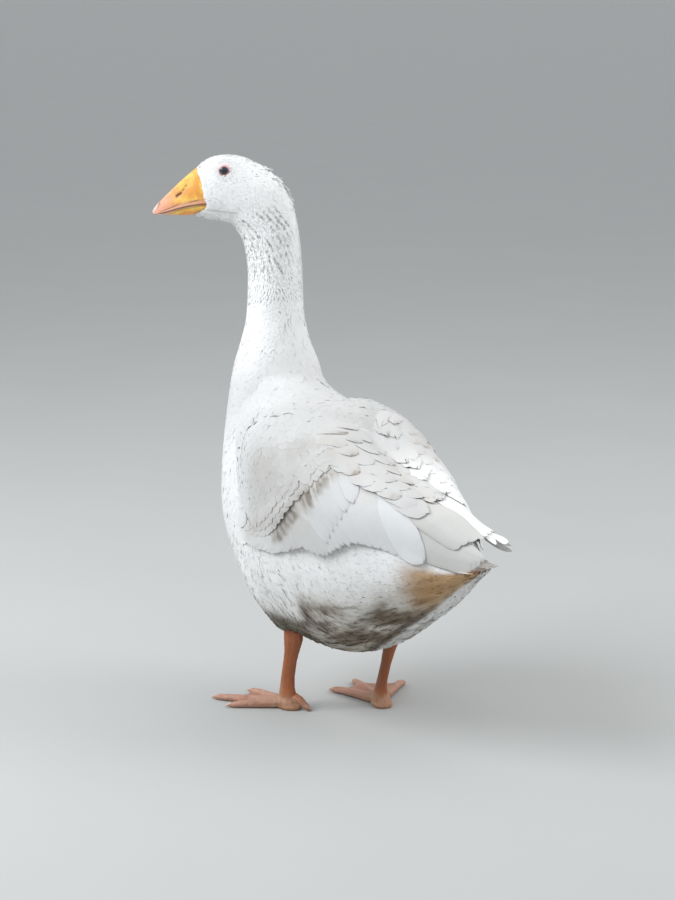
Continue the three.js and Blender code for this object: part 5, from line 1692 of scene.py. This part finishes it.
def tone_inner(y, d, t, u, kind, g):
    c = wing_tone(y, d, t, u, kind, g)
    c = mix(c, BEIGE_TINT_AND_SHADE, .55 * smooth(.85, .35, t) * smooth(330, 240, y))
    c = mix(c, ASH, .35 * smooth(.55, .95, -u) * smooth(.9, .5, t))
    c = mix(c, np.array([.73, .735, .735]), smooth(.45, .8, t) * .8)
    return covert_row_shade(c, y, d, g, 90.0, .9, t, u)


def tone_clean(y, d, t, u, kind, g):
    c = np.broadcast_to(np.array([.765, .775, .78]), y.shape + (3,)).copy()
    return mix(c, WARM * .9, .35 * smooth(.4, .1, t))


def tone_scap(y, d, t, u, kind, g):
    # painted shade: the scapulars darker towards the wing's upper rim, and beige at the rear of that rim where the
    # wings meet; over them all a patchy beige tint
    c = wing_tone(y, d, t, u, kind, g) * (1 - .14 * smooth(70, 25, d))[..., None]
    place = np.stack([y * .05, d * .05, np.full_like(y, 7.7)], -1)
    c = mix(c, BEIGE_TINT_AND_SHADE * .85, .10 + .25 * smooth(.4, .7, fbm(place, 99, 2)) + .30 * smooth(240, 290, y) * smooth(40, 10, d))
    n = y.shape[0]
    k = (g.uniform(0, 1, n) > .45)[:, None, None] * g.uniform(.3, 1, n)[:, None, None]
    rim = smooth(.80, 1.0, t) * smooth(-.2, .6, u) + smooth(.90, 1.0, t) * .6
    spots = smooth(.5, .7, noise3(np.stack([y * .22, d * .22, t * 0 + 3.3], -1), 103))
    return mix(c, UMBER, np.clip(rim * k * (.25 + .6 * spots), 0, .7))


def tone_primary(y, d, t, u, kind, g):
    c = np.broadcast_to(np.array([.64, .635, .61]), y.shape + (3,)).copy()
    c = mix(c, BEIGE_TINT_AND_SHADE, .3 * smooth(.7, .2, t))
    return mix(c, UMBER, .16 * smooth(.7, 1, np.abs(u)))


def folded_wing(side, seed):
    g = np.random.default_rng(seed)
    name = "left" if side > 0 else "right"
    m = .6 if side > 0 else 1.4        # how much its feathers stray

    def jit(a, s=1.0):
        return a + g.normal(0, m * s, a.shape)

    # primaries, the lowest layer
    c = Coat("primaries_" + name + "_vanes")
    ends = np.array([(396, 37), (402, 32), (407, 27), (411, 21)], float)
    start = np.array([(272, 92), (278, 82), (284, 72), (290, 60)], float)
    if side < 0:
        ends = np.array([(406, 33), (405, 26), (416, 7), (408, 3)], float)
        start = np.array([(284, 66), (288, 52), (292, 36), (296, 22)], float)
    wing_set(c, side, jit(start), jit(ends, .4), [34, 30, 27, 24] if side > 0 else [17, 16, 15, 14], [9, 7, 5, 3][:len(ends)], -3.4, np.array([.0, -.5, -.9, -1.2])[:len(ends)], 24, 9, 1, seed + 1, tip_round=.80, point=.25 if side > 0 else .7,
             tone=tone_primary, tilt=.5, soft=.3, rag=.006)
    c.finish(MAT_QUILL, "wing_plumage", ("primaries_" + name,))

    c = Coat("flight_feathers_" + name)
    # inner secondaries
    tips = along([(226, 187), (236, 172), (246, 156), (256, 141), (268, 129), (284, 116), (300, 105), (314, 97), (328, 90)], 13)
    ang = np.linspace(50, 29, 13)
    wing_set(c, side, jit(back_from(tips, 112, ang), .5), jit(tips, .3), 42, 5, -3.2, .2, 20, 9, 2, seed + 2, tip_round=.66,
             tone=tone_inner, tilt=.4, soft=.4)
    under = (tips[1:] + tips[:-1]) / 2 - np.array([1.8, 1.6])
    wing_set(c, side, jit(back_from(under, 108, (ang[1:] + ang[:-1]) / 2), .5), under, 42, 5, -3.6, -.6, 20, 9, 2, seed + 52, tip_round=.66,
             tone=tone_inner, tilt=.2, soft=.4)
    # the long tertials over the primaries, then the broad clean one
    tips = np.array([(380, 26), (385, 17), (392, 9), (395, 2)], float)
    roots = np.array([(270, 46), (272, 34), (276, 22), (284, 10)], float)
    wing_set(c, side, jit(roots), jit(tips), [27, 26, 25, 20], [4, 3, 1, 0], -2.6, [.6, 1.0, 1.3, 1.5], 22, 7, 4, seed + 4, tip_round=.78, point=0 if side > 0 else .55, tone=tone_primary, tilt=.5, soft=.35, rag=.006)
    wing_set(c, side, jit(np.array([(252, 40)], float)), jit(np.array([(341, 83)], float), .5), [45], [4], -2.5, [1.7], 24, 11, 3, seed + 3, tip_round=.74,
             tone=tone_clean, tilt=.6, soft=.35, rag=.006)
    c.finish(MAT_QUILL, "wing_plumage")

    c = Coat("greater_coverts_" + name)
    tips = along([(100, 179), (112, 187), (141, 197), (173, 202), (190, 204), (207, 199), (222, 189), (234, 173)], 15, .5, g)
    wing_set(c, side, jit(back_from(tips, 76, 47)), tips, 31, 2, -2.8, .9, 16, 7, 5, seed + 5, tip_round=.60, tone=tone_great, tilt=.4, soft=.5)
    under = (tips[1:] + tips[:-1]) / 2 - np.array([1.6, 1.8])
    wing_set(c, side, jit(back_from(under, 74, 47)), under, 30, 2, -3.2, .1, 16, 7, 5, seed + 55, tip_round=.60, tone=tone_great, tilt=.2, soft=.5)
    tips = along([(229, 170), (240, 140), (250, 112), (256, 86)], 7, .6, g)
    wing_set(c, side, jit(back_from(tips, 78, 42)), tips, 27, 3, -2.6, .9, 16, 7, 6, seed + 6, tip_round=.66, tone=tone_inner, tilt=.6, soft=.4)
    c.finish(MAT_QUILL, "wing_plumage")

    c = Coat("median_coverts_" + name)
    path = np.array([(92, 168), (108, 180), (130, 179), (154, 172), (176, 160), (192, 152), (204, 134), (212, 112), (219, 92), (224, 74)], float)
    for off, n, w, L, lf in ((7, 20, 19, 46, .9), (19, 20, 18, 42, 1.2), (31, 20, 17, 38, 1.4)):
        tips = along(path, n, 1.0, g) - np.array([np.cos(np.radians(47)), np.sin(np.radians(47))]) * off
        wing_set(c, side, jit(back_from(tips, L, 47), 1.5), jit(tips), w, 1, -2.6, lf, 10, 5, 7 + off, seed + 7 + off, tip_round=.5, tilt=.3, soft=.78, tone=tone_median)
    c.finish(MAT_BODY, "wing_plumage")

    c = Coat("scapulars_" + name)
    rows = (
        ([(216, 64), (240, 58), (266, 50), (290, 40), (312, 32), (338, 25)], 7, 84, -13, 34, 1.9),
        ([(196, 50), (226, 40), (256, 32), (286, 24), (318, 16)], 7, 78, -10, 34, 2.4),
        ([(184, 32), (214, 23), (248, 15), (290, 9)], 6, 70, -6, 32, 2.8),
        ([(180, 15), (214, 9), (252, 4)], 4, 60, -3, 28, 3.1))
    for i, (path, n, L, ang, w, lf) in enumerate(rows):
        tips = along(path, n, 1.2, g)
        torn = side < 0 and i >= 2          # the right wing's upper edge is torn
        wing_set(c, side, jit(back_from(tips, L, ang + g.normal(0, 3, n)), 1.5), jit(tips, 1.2), w, 2.5, -2.6, lf + (1.6 * smooth(222, 250, tips[:, 0]) if torn else 0), 16, 7, 20 + i, seed + 20 + i, tip_round=.62,
                 tone=tone_scap, tilt=.35, soft=.62, rag=.05 if torn else .012)
    c.finish(MAT_BODY, "wing_plumage")


folded_wing(1, 300)
folded_wing(-1, 400)


# ---------------------------------------------------------------- shoulders and mantle, laid over body and wing together
def closed_wing(side):
    v, f = wing_shell(side, -.3, 22, 44)
    return v, f


_wq = np.concatenate([wing_at(WING_Y[:, None] + 0 * np.linspace(0, 1, WING_C), np.linspace(0, 1, WING_C)[None, :] * WING_DOWN[:, None], sd)[0].reshape(-1, 3) for sd in (1, -1)])
_wt = KDTree(len(_wq))
for _i, _p in enumerate(_wq):
    _wt.insert(_p, _i)
_wt.balance()


def wing_place(p):
    """(behind, down, side, distance) of the nearest place on either closed wing, mm."""
    hit = [_wt.find(x) for x in p]
    idx = np.array([h[1] for h in hit])
    dist = np.array([h[2] for h in hit]) / MM
    side = np.where(idx < len(WING_Y) * WING_C, 1, -1)
    k = idx % (len(WING_Y) * WING_C)
    y, c = WING_Y[k // WING_C], (k % WING_C) / (WING_C - 1)
    return y, c * wing_down(y), side, dist


def saddle():
    """The back between the wings' upper rims, as a closed slab."""
    n, m = 36, 25
    y, w = np.linspace(80, 318, n), np.linspace(-1, 1, m)
    rim = neck_frame(wing_at(y, 0 * y, 1)[0])
    top = np.interp(y, [44, 70, 100, 140, 180, 220, 260, 320], [478, 418, 400, 382, 358, 336, 313, 290])
    mid = np.maximum(top, rim[:, 2] + .12 * rim[:, 0])
    x = (rim[:, 0] + 3.0)[:, None] * w[None]
    z = rim[:, 2][:, None] + (mid - rim[:, 2])[:, None] * (1 - w ** 2)[None]
    z = z - 17 * smooth(112, 80, y)[:, None] * np.sqrt(1 - w ** 2)[None]
    a = np.stack([x, np.broadcast_to(y[:, None], x.shape), z], -1)
    v = (np.concatenate([a.reshape(-1, 3), (a - np.array([0, 0, 22.0])).reshape(-1, 3)]) + SHIFT) * MM
    k, i, j = n * m, np.arange(n) * m, np.arange(m)
    rims = []
    for line in (i, i + m - 1, j, j + (n - 1) * m):
        rims.append(np.stack([line[:-1], line[1:], line[1:] + k, line[:-1] + k], -1))
    return v, [grid_faces(n, m), grid_faces(n, m, flip=True) + k] + rims


_fq = neck_frame(FORM_V)
_pad = 2.0 * smooth(50, 120, _fq[:, 1]) * smooth(330, 200, _fq[:, 1]) * smooth(290, 330, _fq[:, 2]) * smooth(100, 60, np.abs(_fq[:, 0]))
_m = remeshed("outer", [(FORM_V + form_n * _pad[:, None] * MM, FORM_T), closed_wing(1), closed_wing(-1), saddle()], .004, rounds=16)
OUT_V, OUT_T = mesh_arrays(_m)
bpy.data.meshes.remove(_m)
# the coat closes the step in front of the wings
for _low, _back in ((-1.2, 175), (-.9, 135), (-.9, 135), (-.4, 125), (-.4, 125)):
    _on = normals_of(OUT_V, OUT_T)
    _oq = neck_frame(OUT_V)
    _w = smooth(_back, _back - 55, _oq[:, 1]) * smooth(250, 285, _oq[:, 2]) * smooth(430, 410, _oq[:, 2])
    _move = ((smoothed_over(OUT_V, OUT_T, 90) - OUT_V) * _on).sum(-1)
    OUT_V = OUT_V + _on * (np.clip(_move, _low * MM, 14 * MM) * _w)[:, None]
OUT_BVH = bvh_of(OUT_V, OUT_T)
out_y, out_d, out_side, out_far = wing_place(OUT_V)
_b = form_index(OUT_V)
_ang = np.radians(np.interp(out_d, [0, 25, 60, 120], [6, 22, 42, 47]) * smooth(260, 200, out_y))
_wl = np.zeros_like(OUT_V)
for _sd in (1, -1):
    _k = out_side == _sd
    a0, _ = wing_at(out_y[_k], out_d[_k], _sd)
    a1, _ = wing_at(out_y[_k] + 3 * np.cos(_ang[_k]), out_d[_k] + 3 * np.sin(_ang[_k]), _sd)
    _wl[_k] = unit(a1 - a0)
_on = smooth(9, 3.5, out_far)[:, None]
out_lie = unit(smoothed_over(unit(form_lie[_b] * (1 - _on) + _wl * _on), OUT_T, 10))
out_s, out_th = form_s[_b], form_th[_b]
OUT_TREE = KDTree(len(OUT_V))
for _i, _p in enumerate(OUT_V):
    OUT_TREE.insert(_p, _i)
OUT_TREE.balance()


def out_index(points):
    return np.array([OUT_TREE.find(p)[1] for p in points])


def shoulder_keep(p):
    i = out_index(p)
    y, d, far = out_y[i], out_d[i], out_far[i]
    q = neck_frame(p)
    limit = np.interp(y, [44, 64, 84, 108, 130, 154, 192, 206, 220, 260, 300], [150, 158, 158, 150, 136, 130, 106, 62, 34, 10, 4])
    on = (far < 5.0) & (d < limit) & (y < 232)
    cover = wing_cover(p)
    band = (far >= 5.0) & (far < 38) & (q[:, 2] > np.interp(q[:, 1], [60, 100], [226, 276])) & (q[:, 1] < 205)
    mantle = (np.abs(q[:, 0]) < 75) & (q[:, 2] > 330) & (q[:, 1] > 40) & (q[:, 1] < 202)
    return on | band | mantle


def shoulder_length(i):
    y, d = out_y[i], out_d[i]
    L = np.interp(y, [44, 90, 150, 210], [17, 21, 26, 30])
    return L * (1 + .15 * smooth(60, 0, d))


P0, N0 = spread(OUT_V, OUT_T, lambda p: shoulder_length(out_index(p)) * MM * .225, shoulder_keep, 501, tries=7)
_g = np.random.default_rng(502)
_i = out_index(P0)
L = shoulder_length(_i) * MM * _g.uniform(.86, 1.14, len(P0))
t = np.array([0, .14, .32, .55, .8, .93, 1.0])
u = np.linspace(-1, 1, 5)
bend = (fbm(neck_frame(P0) * .03, 503, 2) - .5) * .3 + _g.normal(0, .07, len(P0))
P, U = march(OUT_BVH, P0 - out_lie[_i] * (L * .5)[:, None], lambda x: out_lie[out_index(x)], L[:, None] * t[None], guide=bend)
U = smooth_rows(U)
D = unit(np.gradient(P, axis=1))
S = unit(np.cross(U, D))
W = L * .56
half = (W[:, None] * vane_profile(t, .52)[None] * .5)[:, :, None]
q = P[:, :, None] + S[:, :, None] * (half * u)[..., None]
# roots reach down to the coat below, where this form stands off the body
_gap = np.array([(x - FORM_BVH.find_nearest(x)[0]) @ FORM_BVH.find_nearest(x)[1] for x in map(Vector, P[:, 0])]) / MM
_rfar = out_far[out_index(P[:, 0])]
_deep = np.clip(_gap, 0, 4) * smooth(1.5, 6, _rfar)
rise = (-2.4 * (1 - t)[None] ** 2.8 - _deep[:, None] * (1 - t)[None] ** 8 + .8)[:, :, None] + _g.uniform(0, .12, len(P0))[:, None, None] * t[None, :, None] ** 2
lift = rise * MM - (.025 * W)[:, None, None] * (u ** 2)[None, None] + (_g.normal(0, .0001, len(P0)))[:, None, None] * u[None, None] * t[None, :, None]
q = q + U[:, :, None] * lift[..., None]
q = q + D[:, :, None] * ((_g.normal(0, 1, (len(P0), 5)) * .02 * L[:, None])[:, None] * smooth(.7, 1, t)[None, :, None])[..., None]
far = out_far[_i]
yy, dd = out_y[_i][:, None, None] + 0 * lift / MM, out_d[_i][:, None, None] + 0 * lift
tone_w = wing_tone(yy, dd, np.broadcast_to(t[None, :, None], lift.shape), np.broadcast_to(u, lift.shape), 40, _g)
speck = smooth(.66, .80, noise3(np.stack([yy * .16, dd * .16, yy * 0 + 4.4], -1), 105)) * smooth(100, 200, yy) * (_g.uniform(0, 1, len(P0)) > .6)[:, None, None]
tone_w = mix(tone_w, UMBER, .35 * speck * smooth(.7, 1, t)[None, :, None])
tone_b = plumage(q)
_k = (smooth(15, 2, far) * (1 - .6 * smooth(78, 4, out_d[_i]) * smooth(190, 150, out_y[_i])))[:, None, None, None]
col = tone_b * (1 - _k) + tone_w * WING_PAINTED_SHADE * _k
# painted shade: a little darker close to the wing, towards its front
col = col * (1 - .075 * smooth(34, 6, far) * smooth(215, 130, out_y[_i]))[:, None, None, None]
for sd, nm in ((1, "left"), (-1, "right")):
    k = neck_frame(P0)[:, 0] * sd >= 0
    c = Coat("shoulder_" + nm)
    uv = np.stack([.01 + .98 * np.clip((neck_frame(P0)[k, 1] + 60) / 320, 0, 1), .01 + .98 * np.clip((out_d[_i][k] + neck_frame(P0)[k, 0] * sd) / 320, 0, 1)], 1)
    c.add(q[k], np.broadcast_to(U[k][:, :, None], q[k].shape), np.clip(col[k] * (1 - .08 * (1 - t))[None, :, None, None], 0, 1), .0002, uv, u, t, soft=.9)
    c.finish(MAT_BODY, "white_plumage")


# the back's feathers between the two wings
P0, N0 = spread(OUT_V, OUT_T, lambda p: np.full(len(p), .0085), lambda p: (np.abs(neck_frame(p)[:, 0]) < 17) & (neck_frame(p)[:, 2] > 255) & (neck_frame(p)[:, 1] > 200) & (neck_frame(p)[:, 1] < 298), 511, tries=8)
_g = np.random.default_rng(512)
L = np.interp(neck_frame(P0)[:, 1], [178, 350, 388], [40, 50, 44]) * MM * _g.uniform(.9, 1.1, len(P0))
t = 1 - (1 - np.linspace(0, 1, 10)) ** 1.4
bend = _g.normal(0, .10, len(P0))
P, U = march(OUT_BVH, P0 - np.array([0, 1.0, -.3]) * (L * .5)[:, None], lambda x: np.broadcast_to(unit(np.array([0, 1.0, -.33])), x.shape), L[:, None] * t[None], guide=bend)
U = unit(smooth_rows(U) + np.array([0, .1, .8]))
D = unit(np.gradient(P, axis=1))
S = unit(np.cross(U, D))
half = ((L * .52)[:, None] * vane_profile(t, .6)[None] * .5)[:, :, None]
q = P[:, :, None] + S[:, :, None] * (half * u)[..., None]
lift = ((-3.0 * (1 - t) ** 1.8 + 1.3)[None, :, None] + _g.uniform(0, .5, len(P0))[:, None, None] * t[None, :, None]) * MM - (.05 * L * .52)[:, None, None] * (u ** 2)[None, None]
q = q + U[:, :, None] * lift[..., None]
q = q + D[:, :, None] * ((_g.normal(0, 1, (len(P0), 5)) * .025 * L[:, None])[:, None] * smooth(.7, 1, t)[None, :, None])[..., None]
nq = neck_frame(q)
# painted shade between the wings: grey, and beige on the left side
col = mix(np.broadcast_to(np.array([.66, .655, .64]), q.shape), BEIGE_TINT_AND_SHADE * .9, .5 * smooth(190, 240, nq[..., 1]) * smooth(-6, 8, nq[..., 0]))
c = Coat("back_between_wings")
r = neck_frame(P0)
uv = np.stack([np.clip(.5 + r[:, 0] / 44, .02, .98), np.clip((r[:, 1] - 170) / 190, .02, .98)], 1)
c.add(q, np.broadcast_to(U[:, :, None], q.shape), col * WING_PAINTED_SHADE, .00022, uv, u, t, patch=.01, soft=.6)
c.finish(MAT_BODY, "white_plumage")


# ---------------------------------------------------------------- the tail's own feathers
def tail_point(a, r, lift, under=False):
    """On the tail's fan: a across (-1 to 1), r from its root (0) to the tip (1)."""
    x = (lerp(9, 30, r ** .8) * a)
    y = lerp(322, 402 - 9 * a * a, r)
    z = lerp(250, 244.5, r) - 3.5 * a * a + lift
    return (np.stack([x, y, z], -1) + SHIFT) * MM


c = Coat("tail_feathers")
g = np.random.default_rng(700)
for row, (lift, end, w, n, tone_c) in enumerate(((-1.6, 1.0, .26, 16, (.80, .79, .77)), (.2, .80, .30, 11, (.82, .82, .81)), (2.2, .62, .36, 9, (.83, .83, .82)), (-4.0, .84, .30, 11, (.56, .42, .26)))):
    a0 = np.linspace(-.9, .9, n) * (.70 if row == 3 else .86)
    K, M = 12, 5
    t, u = 1 - (1 - np.linspace(0, 1, K)) ** 1.4, np.linspace(-1, 1, M)
    prof = np.maximum((.5 + .5 * smooth(0, .45, t)) * np.sqrt(np.clip(1 - (np.clip(t - .72, 0, None) / .28) ** 2, 0, 1)), .08)
    A = a0[:, None, None] + u[None, None] * (w * prof)[None, :, None] + g.normal(0, .01, n)[:, None, None]
    R = np.broadcast_to((t * end)[None, :, None] * (1 + g.normal(0, .015, n))[:, None, None], A.shape)
    lf = lift + .5 * u[None, None] * np.sign(a0 + 1e-6)[:, None, None] + 1.2 * (1 - np.abs(a0))[:, None, None] + .3 * g.normal(0, 1, n)[:, None, None]
    top = tail_point(A, R, lf)
    flip = row == 3
    up = np.broadcast_to(np.array([0, .05, -1.0 if flip else 1.0]), top.shape)
    q = neck_frame(top)
    col = mix(np.broadcast_to(np.array(tone_c), top.shape), OCHRE * .8, smooth(.55, 1, R) * .35 * smooth(.3, .7, noise3(q * .12, 705)))
    col = mix(col, RUST, smooth(.8, 1, R / end) * smooth(-.2, .5, A) * (.5 if row in (0, 3) else .15))
    uv = np.stack([.5 + .45 * a0, np.full(n, .12 + .22 * row)], 1)
    if flip:
        top, up, col, uu = top[:, :, ::-1], up[:, :, ::-1], col[:, :, ::-1], -u[::-1]
    else:
        uu = u
    # M runs to +x and K to +y, so that top and under side face the right way
    c.add(top[:, :, ::-1], up[:, :, ::-1], col[:, :, ::-1], .0003, uv, -uu[::-1], t, patch=.012, soft=.3)
c.finish(MAT_QUILL, "white_plumage", ())


# ---------------------------------------------------------------- floor, light and camera
def floor_material():
    m, nt, b = new_material("floor", .8, .2)
    L = nt.links.new
    co = node(nt, "ShaderNodeTexCoord").outputs["Object"]
    n = node(nt, "ShaderNodeTexNoise", in_Scale=3.0, in_Detail=4.0)
    L(co, n.inputs["Vector"])
    L(mix_color(nt, n.outputs[0], (.43, .435, .43), (.46, .46, .45)), b.inputs["Base Color"])
    return m


me = make_mesh("floor", [(-400, -400, 0), (400, -400, 0), (400, 400, 0), (-400, 400, 0)], np.array([(0, 1, 2, 3)]))
me.materials.append(floor_material())
floor = add_object("floor", me)

TARGET = np.array([-.05786, -.10744, .318])
AZ, EL, DIST = math.radians(140), math.radians(12.5), 2.72
back = np.array([math.sin(AZ) * math.cos(EL), -math.cos(AZ) * math.cos(EL), math.sin(EL)])
cam_data = bpy.data.cameras.new("camera")
cam_data.lens, cam_data.sensor_width, cam_data.sensor_fit = 83.2, 36.0, "AUTO"
cam_data.clip_end = 2000
cam = bpy.data.objects.new("camera", cam_data)
bpy.context.scene.collection.objects.link(cam)
cam.location = TARGET + back * DIST
cam.rotation_euler = Vector(back).to_track_quat("Z", "Y").to_euler()
bpy.context.scene.camera = cam


def softbox(name, place, size, power, color=(1, 1, 1)):
    d = bpy.data.lights.new(name, "AREA")
    d.shape, d.size, d.energy, d.color = "DISK", size, power, color
    o = bpy.data.objects.new(name, d)
    bpy.context.scene.collection.objects.link(o)
    o.location = place
    o.rotation_euler = (Vector(place) - Vector((0, 0, .35))).to_track_quat("Z", "Y").to_euler()
    return o


softbox("sky", (-.6, .3, 3.2), 2.6, 14, (1, 1, 1))
softbox("key", (-1.9, 1.6, 2.1), 1.6, 30, (1, .985, .96))
softbox("fill", (1.6, -.9, 1.9), 1.6, 50, (.95, .975, 1))
world = bpy.data.worlds.new("world")
bpy.context.scene.world = world
world.use_nodes = True
world.node_tree.nodes["Background"].inputs[0].default_value = (.80, .83, .86, 1)
world.node_tree.nodes["Background"].inputs[1].default_value = .90
bpy.context.scene.view_settings.view_transform = "Standard"
bpy.context.scene.view_settings.look = "None"
